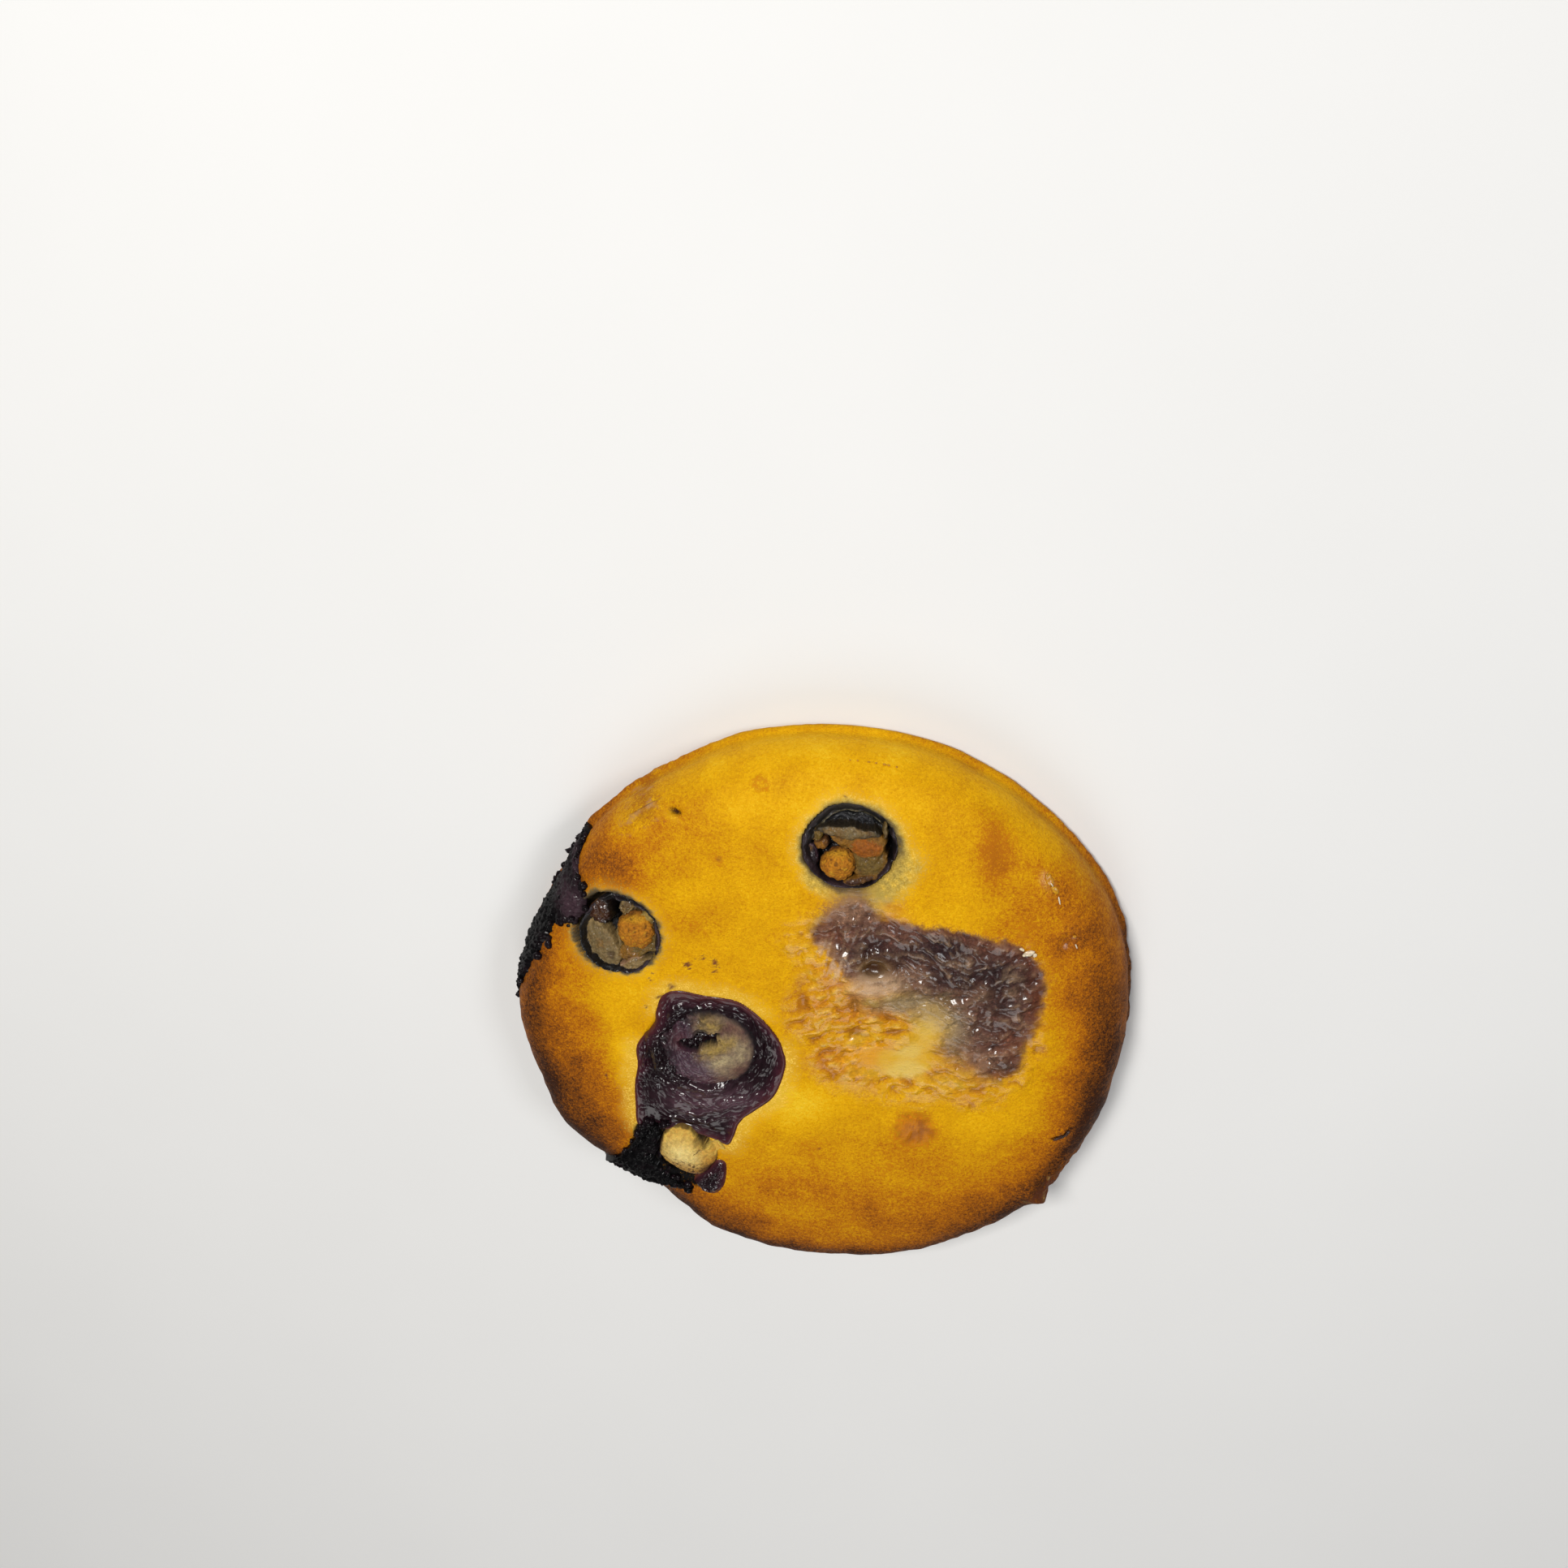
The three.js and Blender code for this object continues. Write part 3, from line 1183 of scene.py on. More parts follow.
    def ground(self, points: Array, u: Array, v: Array) -> Ground:
        """Works out where the torn patch and its lumps lie.

        Args:
            points: The smooth form's points.
            u: Places along X on the unrolled skin.
            v: Places along Y on the unrolled skin.

        Returns:
            The ground to shape and to paint.
        """
        x, y = points[:, 0], points[:, 1]
        crown = (points[:, 2] > 0.6 * self.form.thick) * 1.0
        flat = plane(u, v)
        border = Outline(self.torn).depth(x, y) + 2.6 * Texture(5).layered(flat, 4.0, 4, 0.6)
        ragged = Texture(6).layered(flat, 2.6, 4, 0.65)
        blurs = spots((15, 0, 12, 10, 0, 6.0, 1.2), (3, 24, 6, 5, 0, 2.2), (25, -7, 7, 4, 0, 1.6))
        soft = heap(blurs, x, y) + 1.7
        inset = Outline(self.stain).depth(x, y) + 1.5 * ragged
        stir = flat + 1.1 * plane(Texture(15).layered(flat, 3.0, 3), Texture(16).layered(flat, 3.0, 3))
        grain = math.radians(24.0) * ease(24, 8, x)
        streak = plane(
            0.62 * (stir[:, 0] * np.cos(grain) + stir[:, 1] * np.sin(grain)),
            1.15 * (stir[:, 1] * np.cos(grain) - stir[:, 0] * np.sin(grain)),
        )
        stones = 0.5 + 0.5 * Texture(17).layered(streak, 1.8, 4, 0.6)
        smooth = spots(
            (13.2, -3, 4.6, 2.9, 12, 0.95, 1.8), (8.4, -1.8, 2.8, 1.8, 20, 0.9, 1.8),
            (15.6, 0.6, 2.2, 2.4, 0, 0.8, 1.5), (17, 3.8, 2, 2.6, 0, 0.7, 1.5),
            (8.6, 11.8, 4.4, 2, 8, 0.45, 1.5), (9, 14.6, 2.6, 1.8, 0, 0.6, 1.5),
        )
        cracks = spots(
            (36.9, -18.1, 1.2, 0.42, 12, 1, 1.8), (38.3, -17.2, 0.9, 0.40, 48, 1, 1.8),
            (-19.6, 39, 1, 0.45, -12, 0.9, 2),
        )
        return Ground(
            x=x, y=y, u=u, v=v, flat=flat, crown=crown, ragged=ragged,
            upper=points[:, 2] > 0.5 * self.form.thick,
            wx=x + 1.2 * Texture(22).layered(flat, 2.6, 4, 0.6),
            wy=y + 1.2 * Texture(23).layered(flat, 2.6, 4, 0.6),
            wet=ease(-1.6, 5, border) * crown,
            stain=ease(0, 1, (inset + 0.30 * soft) / (1.2 * soft)) * crown,
            cobbles=0.55 * Texture(7).grains(streak, 1.5) + 0.45 * stones,
            pebbles=0.42 * Texture(9).grains(streak, 1.3) + 0.58 * Texture(27).ridges(streak, 1.9, 4),
            swells=Texture(28).layered(stir, 3.6, 3),
            calm=np.clip(1 - heap(smooth, x, y), 0.05, 1.0),
            pit=Spot(9, 14.6, 1.7, 1.1, edge=1.6).at(x, y),
            shelf=Spot(9.2, 11.8, 4.3, 2.1, 8, 1, 1.5).at(x, y),
            cracks=cover(cracks, x, y),
        )

    @staticmethod
    def lift_torn(lift: Array, ground: Ground) -> None:
        """Raises the torn patch's lumps, the blots and the blister, and sinks the pit and the cracks.

        Args:
            lift: Millimetres outward, changed in place.
            ground: The ground.
        """
        x, y, stain, calm = ground.x, ground.y, ground.stain, ground.calm
        lumps = 1.1 * (ground.cobbles - 0.60) + 0.45 * ground.swells
        lift += ground.wet * calm * (1 - 0.6 * stain) * lumps
        lift += stain * calm * (1.45 * (ground.pebbles - 0.47) - 0.2 + 0.50 * ground.swells)
        lift += 0.45 * ground.shelf - 0.75 * ground.pit
        lift -= 0.5 * Spot(37.5, 18.2, 1.2, 1, 0, 1, 1.6).at(x, y)
        blot = Spot(14.6, -17.4, 3, 1.7, 0, 1, 1.6).at(x, y)
        lift += blot * (0.8 * (ground.cobbles - 0.55) - 0.15)
        lift += 0.22 * ground.blister(0.35) * ground.crown
        lift += 0.35 * Spot(37.3, -17.7, 2.2, 1.1, 28, 1, 1.3).at(x, y) - 1.1 * ground.cracks

    def sink(self, lift: Array, paint: Paint, ground: Ground, pockets: Sequence["Berry"]) -> None:
        """Sinks the jam's bed and the berries' pockets, and tints the batter round them.

        Args:
            lift: Millimetres outward, changed in place.
            paint: The body's paint.
            ground: The ground.
            pockets: The berries to leave room for.
        """
        x, y, crown = ground.x, ground.y, ground.crown
        shore = self.pool.depth(ground.u, ground.v)
        lift -= self.bed * ease(0.15, 1.3, shore) * ground.upper
        glow = 0.55 * ease(-3.6, -0.3, shore + 0.9 * ground.ragged)
        paint.lay(Tint.HALO, glow * ease(0, 4, np.abs(y - 3.0)) * crown)
        wisp = 0.07 * Texture(32).smooth(ground.flat, 1.5)
        for berry in pockets:
            share = berry.share(x, y)
            lift += berry.brim * (bell(share - 1.05, 0.09) * crown)
            lift -= berry.pocket * ease(1, 0.9, share) * crown
            berry.stain(paint, share + wisp + berry.lean(x, y), crown)

    def lift_rim(self, lift: Array, azimuth: Array, travel: Array, points: Array, top: Array) -> None:
        """Frays the lip, raises the torn flap and dents the side wall.

        Args:
            lift: Millimetres outward, changed in place.
            azimuth: Directions, in radians.
            travel: Distances along the skin.
            points: The smooth form's points.
            top: 1 above the underside.
        """
        form = self.form
        around = plane(points[:, 0], points[:, 1])
        fray = Texture(10).layered(around, 5.0, 5, 0.7)
        sheer = 1 - 0.85 * bell(turned_from(azimuth, 75.0), 62.0)
        lift += bell(travel - form.lip, 1.4) * (0.25 + 0.9 * fray) * sheer
        turn = turned_from(azimuth, -43.0)
        width = np.where(turn < 0.0, 3.0, 2.0)
        flap = np.exp(-np.abs(turn) / width - ((travel - form.rim - 4.0) / 3.0) ** 2)
        torn_edge = ease(-1, 1.5, turn) * ease(15, 8, turn)
        crumbs = Texture(35).layered(around, 1.7, 3, 0.65) + 0.1
        lift += 2.3 * flap + 0.9 * torn_edge * ease(form.rim, form.rim + 3.0, travel) * crumbs
        wall = ease(form.rim - 1.0, form.rim + 3.0, travel) * top
        dents = 0.25 * Texture(11).layered(points * (1.0, 1.0, 0.35), 2.8, 3)
        lift += wall * sheer * (dents + 0.3 * Texture(18).layered(around, 9.0, 2))
        crease = bell(travel - (form.lip - 3.0) - 0.8 * Texture(19).layered(around, 12.0, 2), 0.7)
        lift -= crease * sheer * (0.3 + 0.3 * Texture(12).layered(around, 6.0, 2))

    @staticmethod
    def colour_torn(paint: Paint, ground: Ground) -> None:
        """Paints the custard and the juice of the torn patch, with painted shade in the hollows of its lumps
        and painted highlights on their crests.

        Args:
            paint: The body's paint.
            ground: The ground.
        """
        x, y, flat, patch = ground.x, ground.y, ground.flat, ground.patch
        wet, stain, calm = ground.wet, ground.stain, ground.calm
        # Hollows and crests of the lumps, used below for painted shade and painted highlights.
        low, crest = ease(0.58, 0.42, ground.cobbles), ease(0.66, 0.80, ground.cobbles)
        dip, knob = ease(0.48, 0.28, ground.pebbles), ease(0.60, 0.80, ground.pebbles)
        open_wet = wet * (1 - stain)
        amber = patch(
            (1, -3.4, 4.6, 4, 0, 0.75, 1.3), (-2.2, 9, 3.4, 7, 0, 0.45, 1.2),
            (5, 6.4, 6, 3.2, 10, 0.65, 1.3), (11, 5.4, 4, 3, 0, 0.45, 1.3), (24, -9.4, 6, 2, 0, 0.5, 1.2),
            (19.5, -4.6, 3.4, 2, 0, 0.5, 1.3), (3, 11.6, 2.6, 2.6, 0, 0.6, 1.3),
            (6, -8.5, 5, 1.6, 0, 0.35, 1.2),
        )
        # Amber of the wet gel, laid thicker in the hollows as painted shade.
        paint.lay(Tint.AMBER, (0.40 + 0.85 * amber) * wet * (0.6 + 0.6 * low))
        paint.lay(Tint.AMBER, 0.55 * open_wet * ease(0, 0.5, Texture(34).layered(flat, 5.0, 3)))
        # Painted shade: leather brown in the hollows of the open wet patch.
        paint.lay(Tint.LEATHER, 0.45 * open_wet * low * calm)
        paint.lay(Tint.AMBER, patch((14.5, -15.6, 3.6, 3.6, 0, 0.95, 2)))
        # Painted shade: tan in the hollows of the orange blot.
        paint.lay(Tint.TAN, patch((14.5, -15.6, 3.4, 3.4, 0, 0.75, 2)) * ease(0.72, 0.50, ground.cobbles))
        paint.lay(Tint.AMBER, patch((27, 33.5, 2.4, 4.4, 0, 0.3, 1.2)))
        paint.lay(Tint.SYRUP_GOLD, patch((7.4, -1.4, 4.2, 2.2, 22, 0.95, 2.6)) * wet)
        # Painted highlights: pale yellow and cream on the crests.
        paint.lay(Tint.PALE_YELLOW, crest * 0.30 * open_wet * calm)
        paint.lay(Tint.CREAM, crest * 0.08 * open_wet * calm)
        olive = patch(
            (16.5, 9.6, 5.4, 3.4, 0, 0.8, 1.4), (10, 8.2, 5, 1.6, 0, 0.55, 1.3),
            (21, 3, 3.2, 5, 0, 0.7, 1.4),
        )
        paint.lay(Tint.OLIVE_GREY, olive * wet)
        thin = patch(
            (16.5, 4.8, 4, 4.2, 0, 1, 1.4), (12, 9, 4, 1.6, 0, 0.6, 1.4), (21, -4.4, 3.4, 2.2, 0, 0.45, 1.3)
        )
        paint.lay(Tint.MAUVE, stain * (0.98 - 0.80 * thin))
        soft_mauve = patch(
            (5.4, 25, 4, 2.8, 0, 0.75, 1.3), (21.5, -3, 4, 2.6, 0, 0.7, 1.3),
            (3, 16, 1.5, 3.4, 12, 0.75, 1.3), (26, -3, 4, 2.4, 0, 0.6, 1.3),
            (24.5, 9.5, 2.6, 1.4, -10, 0.5, 1.3), (30.5, 9.5, 1.8, 1.6, 0, 0.45, 1.3),
            (16.5, 13, 2.6, 1.2, 0, 0.45, 1.3),
        )
        paint.lay(Tint.SOFT_MAUVE, soft_mauve * stain)
        red = patch(
            (33, 8, 1.7, 9, 8, 0.9, 1.6), (29, 0.5, 2.4, 5.5, 8, 0.55, 1.3),
            (27.5, -5.2, 3.6, 1.8, 0, 0.7, 1.3), (2.6, 20, 3.4, 2.4, 0, 0.6, 1.2),
            (21, 20.2, 5, 1.2, -8, 0.6, 1.3), (29, 17, 5, 1.2, -16, 0.6, 1.3),
        )
        paint.lay(Tint.RED_BROWN, red * stain)
        plum = patch(
            (19.4, 17.6, 4.6, 2.6, -6, 0.95, 1.6), (20.5, 12.6, 4.6, 2.6, 0, 0.80, 1.4),
            (8.6, 17.6, 4.6, 2.2, 0, 0.80, 1.4), (27.2, 13, 5.8, 3.2, -14, 0.9, 1.4),
            (27.8, 8, 4.4, 3, 0, 0.75, 1.3), (28.5, -3, 2.4, 1.3, 0, 0.75, 1.2),
            (27, 3.4, 3.8, 2, 0, 0.55, 1.2), (8, 21.4, 3.4, 1.2, 0, 0.35, 1.2),
            (14, 16.5, 3.2, 2, 0, 0.7, 1.3),
        )
        paint.lay(Tint.PLUM, plum * stain)
        drift = ease(0, 0.6, Texture(31).layered(flat * (0.7, 1.1, 1.0), 3.0, 4, 0.6))
        veil = ease(0.05, 0.5, Texture(33).layered(flat * (0.8, 1.1, 1.0), 2.2, 4, 0.6))
        # Painted shade: plum in the dips of the stain.
        paint.lay(Tint.PLUM, 0.80 * stain * dip * (1 - 0.8 * thin))
        paint.lay(
            Tint.GREY_VEIL,
            veil * stain * patch((15, 11.6, 5, 2.4, -10, 0.55, 1.4), (21.5, 5, 4, 4, 0, 0.5, 1.3)),
        )
        # Painted highlights: pale mauve on the knobs of the stain.
        paint.lay(Tint.PALE_MAUVE, 0.44 * stain * knob * (0.3 + 0.7 * drift))
        custard = patch(
            (13.2, -2.8, 4.4, 2.9, 8, 0.98, 3.5), (15.4, 0.6, 2.8, 2.6, 0, 0.9, 2.2),
            (17.2, 4, 2.8, 3.8, -10, 0.9, 1.6), (8.5, -4.8, 4.5, 1.1, 8, 0.6, 1.3),
            (20, -6.2, 4, 2, -10, 0.5, 1.2), (6.6, 1.6, 3, 0.8, 30, 0.6, 1.3),
        )
        paint.lay(Tint.CUSTARD, custard * wet * (1 - 0.5 * veil * stain))
        palest = patch(
            (13.4, -4, 3, 1.7, 10, 0.95, 2.2), (13.8, -0.8, 2.4, 1.2, 20, 0.8, 2.2),
            (16.8, 3.2, 1.7, 2.2, 0, 0.6, 1.3),
        )
        paint.lay(Tint.PALE_CUSTARD, palest * wet)
        paint.lay(
            Tint.GREY_VEIL,
            patch(
                (17.2, 6.4, 3.4, 2.4, 0, 0.6, 1.3), (13, 8.4, 4.4, 1.6, 10, 0.5, 1.3),
                (20.6, 3.4, 2.6, 3.2, 0, 0.5, 1.3),
            )
            * wet,
        )
        # The shelf's own pale mauve, thinner in its dips as painted shade.
        paint.lay(Tint.PALE_MAUVE, ground.shelf * (0.80 - 0.45 * dip))
        turned = plane(1.3 * x - 0.35 * y, 0.18 * y)
        streaks = ease(0.55, 0.85, Texture(30).ridges(turned, 1.0, 1)) * patch((3.2, 16, 2, 3.6, 12, 1, 1.5))
        paint.lay(Tint.PALE_MAUVE, 0.8 * streaks)
        # Painted shade: the sunken pit and the ring round it are laid olive and dark syrup brown.
        paint.lay(Tint.OLIVE, 0.7 * Spot(9, 14.8, 2.5, 1.5, 0, 1, 1.4).at(x, y))
        paint.lay(Tint.SYRUP, 0.95 * ground.pit)

    def colour_crust(self, paint: Paint, ground: Ground) -> None:
        """Paints the specks, the blister, the cracks and the soot on the rest of the crust.

        Args:
            paint: The body's paint.
            ground: The ground.
        """
        x, y, flat, patch = ground.x, ground.y, ground.flat, ground.patch
        dots = (
            (-19.5, 14.5, 0.7), (-19.0, 13.7, 0.5), (-15.0, 15.3, 0.9), (-16.6, 16.2, 0.7),
            (-15.2, 13.6, 0.6), (-22.0, 10.6, 0.7), (-24.0, 8.7, 0.55), (-24.9, 11.4, 0.4),
            (-24.8, 12.6, 0.35), (-26.0, 7.0, 0.4), (-34.0, -6.9, 0.6), (5.2, 42.0, 0.35),
            (-21.4, 11.0, 0.4), (-14.4, 14.6, 0.4), (-17.8, 15.6, 0.4), (-1.0, -20.0, 0.5),
            (-12.8, 32.4, 0.5),
        )
        paint.lay(
            Tint.RED_BROWN,
            patch(*((a, b, 0.75 * size, 0.6 * size, 30 * a, 0.9, 1.5) for a, b, size in dots)),
        )
        faint = (
            (-17, 21, 1.3), (-33, 2, 1.5), (-2, -19.5, 2.0), (-13, 32.5, 1.4), (9.5, -23.5, 1.6),
            (31, 21, 1.6),
        )
        paint.lay(Tint.ORANGE, patch(*((a, b, size, 0.8 * size, 0, 0.40, 1.2) for a, b, size in faint)))
        paint.lay(
            Tint.ORANGE, 0.35 * ground.blister(0.5) + 0.3 * Spot(-6.5, 43.5, 1.3, 0.95, 0, 1, 2).at(x, y)
        )
        paint.lay(Tint.PALE_YELLOW, 0.3 * Spot(-20, 38.2, 1.4, 0.5, -20, 1, 1.5).at(x, y))
        paint.lay(Tint.DARK_BROWN, ground.cracks)
        broken = patch((34.6, -29.6, 3.6, 1.5, 44, 1, 1.6))
        paint.lay(Tint.RED_BROWN, 0.5 * broken)
        paint.lay(Tint.CREAM, 0.3 * broken * ease(0.1, 0.5, Texture(36).layered(flat, 1.0, 3)))
        dusty = (
            patch((12, 28.9, 5.4, 2.6, 45, 0.75, 1.5), (1, 28.4, 2.6, 1.2, -40, 0.5, 1.4))
            * (1 - ground.stain)
        )
        paint.lay(Tint.HALO, dusty)
        paint.lay(Tint.HALO_OLIVE, dusty * ease(-0.6, 0.25, Texture(38).layered(flat, 1.2, 3, 0.6)))
        rosy = patch((-24.5, 38.6, 2.8, 2.2, 30, 0.75, 1.4), (-27.5, 36.2, 1.6, 1.8, 0, 0.35, 1.3))
        paint.lay(Tint.TAN, 0.7 * rosy)
        # Painted highlights: pale mauve on the crests of the rosy patch.
        paint.lay(Tint.PALE_MAUVE, 0.40 * rosy * ease(0.66, 0.80, ground.cobbles))
        burnt = Outline(self.form.unroll(self.burnt)).depth(ground.u, ground.v)
        paint.lay(Tint.SOOT, ease(-0.6, 0.4, burnt + 0.7 * Texture(24).layered(flat, 1.6, 2)))

    @staticmethod
    def glaze(x: Array, y: Array) -> Array:
        """Small shiny places outside the torn patch."""
        places = spots(
            (14.6, -16.2, 3, 2.8, 0, 0.38, 1.8), (-24.5, 38.6, 3, 2.2, 30, 0.6, 1.5),
            (37.5, 18.5, 1.8, 1.8, 0, 0.8, 1.3), (34.5, 27, 1.3, 2.4, 20, 0.8, 1.3),
        )
        return cover(places, x, y)

    def browning_and_shade(self, ground: Ground, travel: Array, pores: Array) -> Array:
        """Works out how brown the skin is baked, with painted shade that darkens the rim on the side away
        from the key light.

        Args:
            ground: The ground.
            travel: Distances along the skin.
            pores: Depth of the pores of the underside.

        Returns:
            0 for pale to 1 for dark brown.
        """
        form, x, y = self.form, ground.x, ground.y
        azimuth = np.degrees(np.arctan2(y, x))
        knots = (
            (0, 0.46), (15, 0.42), (30, 0.22), (45, 0.16), (60, 0.12), (75, -0.02), (90, -0.02),
            (105, 0.03), (120, 0.14), (130, 0.24), (145, 0.34), (165, 0.40), (185, 0.46), (205, 0.52),
            (225, 0.50), (245, 0.54), (270, 0.42), (295, 0.42), (315, 0.46), (335, 0.52), (360, 0.46),
        )
        # Browning toward the rim by direction: it is least on the far side, toward the key light, so part of
        # it is painted shade.
        rim_browning_and_shade = np.interp(azimuth % 360.0, *np.array(knots).T)
        browning_and_shade = 0.37 + ease(29, form.rim + 8.0, travel) * rim_browning_and_shade
        browning_and_shade += heap(self.browning_and_shade_patches(), x, y) * (travel < form.lip)
        # Painted shade: the rim darkens more toward the near side, away from the key light.
        outer = 0.5 - 0.5 * np.cos(np.radians(azimuth - 80.0))
        browning_and_shade += (0.05 + 0.34 * outer) * ease(40, 48.5, travel)
        browning_and_shade += 0.10 * ease(form.lip - 3.5, form.lip, travel)
        browning_and_shade += 0.05 * Texture(37).layered(ground.flat, 4.5, 3) * ease(24, 40, travel)
        browning_and_shade -= (0.10 + 0.30 * outer) * ease(form.rim + 2.0, form.rim + 7.0, travel)
        under = ease(form.lip + 0.2, form.floor + 1.5, travel)
        griddle = 0.72 + 0.34 * Texture(20).layered(plane(x, y), 11.0, 5, 0.65)
        griddle -= 0.18 * ease(form.floor + 9.0, form.floor + 1.0, travel) + 0.25 * pores
        return np.clip(browning_and_shade * (1 - under) + griddle * under, 0, 1)

    @staticmethod
    def browning_and_shade_patches() -> tuple[Spot, ...]:
        """Browner and paler patches of the top; some browner ones by the near rim, such as the one at (-36,
        -19), are painted shade.
        """
        return spots(
            (-37, -8, 7, 11, 15, 0.23, 1.2), (-30, 32, 8, 6, 40, 0.06, 1.2),
            (27, 33, 2.6, 4.6, 0, 0.22, 1.3), (4, -24, 28, 9, 0, 0.12, 1.4), (42, -4, 4, 16, 0, 0.12, 1.4),
            (-36, -19, 5, 5, 0, 0.14, 1.2), (-27.5, 29, 3.5, 4, 30, 0.14, 1.2),
            (-27, 36, 4, 3, 30, -0.14, 1.2), (29, 36, 5, 4, -40, -0.12, 1.2), (-20, 12, 5, 4, 0, 0.05, 1.2),
            (10, -33, 20, 6, 0, 0.16, 1.3), (-6, -28, 9, 5, 0, 0.10, 1.2), (-14, 34, 8, 6, 0, 0.06, 1.2),
            (37.5, 18, 3.5, 2.5, 0, 0.16, 1.3), (33, 24, 7, 5, 0, 0.08, 1.3),
            (0, -4, 4.5, 3.5, 0, 0.10, 1.3), (-2, 8, 4.5, 7, 0, 0.08, 1.3), (-17, 22, 5, 3, 0, 0.10, 1.3),
            (-5, -11, 7, 4.5, 0, -0.16, 1.3), (24, -16, 7, 4, 0, -0.04, 1.2),
            (-27, 10, 8, 5, 20, -0.04, 1.3), (-39, 17, 2.5, 4, 0, -0.14, 1.3),
            (-31, -2, 2.6, 9, 8, -0.14, 1.3), (-33, 4, 5, 4, 0, 0.10, 1.3), (-8, 41, 10, 3, 0, -0.06, 1.3),
            (30, 20, 5, 4, 0, 0.12, 1.3), (37, 11, 4, 5, 0, 0.08, 1.3), (-14, -36, 5, 3, 0, 0.12, 1.3),
            (14, -20, 6, 4, 0, 0.06, 1.3), (15, 41, 7, 3, -10, -0.06, 1.3),
        )


# ------------------------ fruit and jam


@dataclass(frozen=True)
class Lump:
    """One rounded mass inside a berry, measured from the berry's middle."""

    x: float
    y: float
    wide: float
    high: float
    top: float
    tint: Tint
    turn: float = 0.0
    tilt: Point = (0.0, 0.0)
    edge: Tint | None = None
    dry: float = 0.25
    beads: float = 0.0


class Halo(Enum):
    """How the batter is tinted round a berry: not at all, or smoky."""

    NONE = 0
    SMOKY = 1


@dataclass
class Berry:
    """A berry sunk in the batter, shaped as one closed body."""

    name: str
    node: str
    middle: Point
    half: Point
    pocket: float = 5.0
    brim: float = 0.12
    halo: Halo = Halo.SMOKY
    drift: Point = (0.0, 0.0)
    haze: float = 0.6
    cuts: int = 60

    def share(self, x: Array, y: Array) -> Array:
        """Measures from the berry's middle.

        Args:
            x: Places along X.
            y: Places along Y.

        Returns:
            The distance, 1 at the berry's edge.
        """
        azimuth = np.arctan2(y - self.middle[1], x - self.middle[0])
        far = np.hypot((x - self.middle[0]) / self.half[0], (y - self.middle[1]) / self.half[1])
        return far / self.uneven(azimuth)

    def lean(self, x: Array, y: Array) -> Array:
        """How much weaker the halo is away from the side it drifts to."""
        azimuth = np.arctan2(y - self.middle[1], x - self.middle[0])
        return -0.09 * (np.cos(azimuth) * self.drift[0] + np.sin(azimuth) * self.drift[1])

    def uneven(self, azimuth: Array) -> Array:
        """How far the edge strays from an oval in each direction."""
        place = on_ring(azimuth, 1.0, np.full(len(azimuth), self.half[0]))
        return 1 + 0.06 * Texture(29).layered(place, 0.6, 4, 0.6)

    def stain(self, paint: Paint, share: Array, crown: Array) -> None:
        """Tints the batter round the berry.

        Args:
            paint: The batter's paint.
            share: Distances from the berry's middle, 1 at its edge.
            crown: 1 on the top.
        """
        if self.halo is Halo.NONE:
            return
        paint.lay(Tint.HALO, 0.8 * self.haze * ease(1.45, 1.10, share) * crown)
        paint.lay(Tint.HALO_OLIVE, self.haze * ease(1.22, 1.05, share) * crown)
        paint.lay(Tint.HALO_SMOKE, 0.8 * ease(1.11, 1.00, share) * crown)

    def blank(self) -> tuple[Blank, Array, Array, Array, Array]:
        """Cuts the berry's blank.

        Returns:
            The blank with each vertex's plan share, local X and Y, and 1 where it is underneath.
        """
        blank = round_blank(self.cuts)
        share, below = plan_shares(blank.path, 0.96)
        reach = share * self.uneven(blank.azimuth)
        x = reach * np.cos(blank.azimuth) * self.half[0]
        y = reach * np.sin(blank.azimuth) * self.half[1]
        return blank, share, x, y, below

    def seat(self, batter: Batter, share: Array, x: Array, y: Array, below: Array, height: Array) -> Array:
        """Sets the shaped top and a round underside into the batter.

        Args:
            batter: The batter.
            share: Plan shares.
            x: Local places along X.
            y: Local places along Y.
            below: 1 underneath.
            height: The top's height over the batter.

        Returns:
            The points.
        """
        plan = np.array(batter.form.unroll(np.stack((x + self.middle[0], y + self.middle[1]), axis=1)))
        points, out = batter.form.skin(plan[:, 0], plan[:, 1])
        bottom = -self.pocket * (0.5 + 0.5 * np.sqrt(np.clip(1 - share**2, 0, 1)))
        lift = (height + batter.height(plan[:, 0], plan[:, 1])) * (1 - below) + bottom * below
        return points + out * lift[:, None]


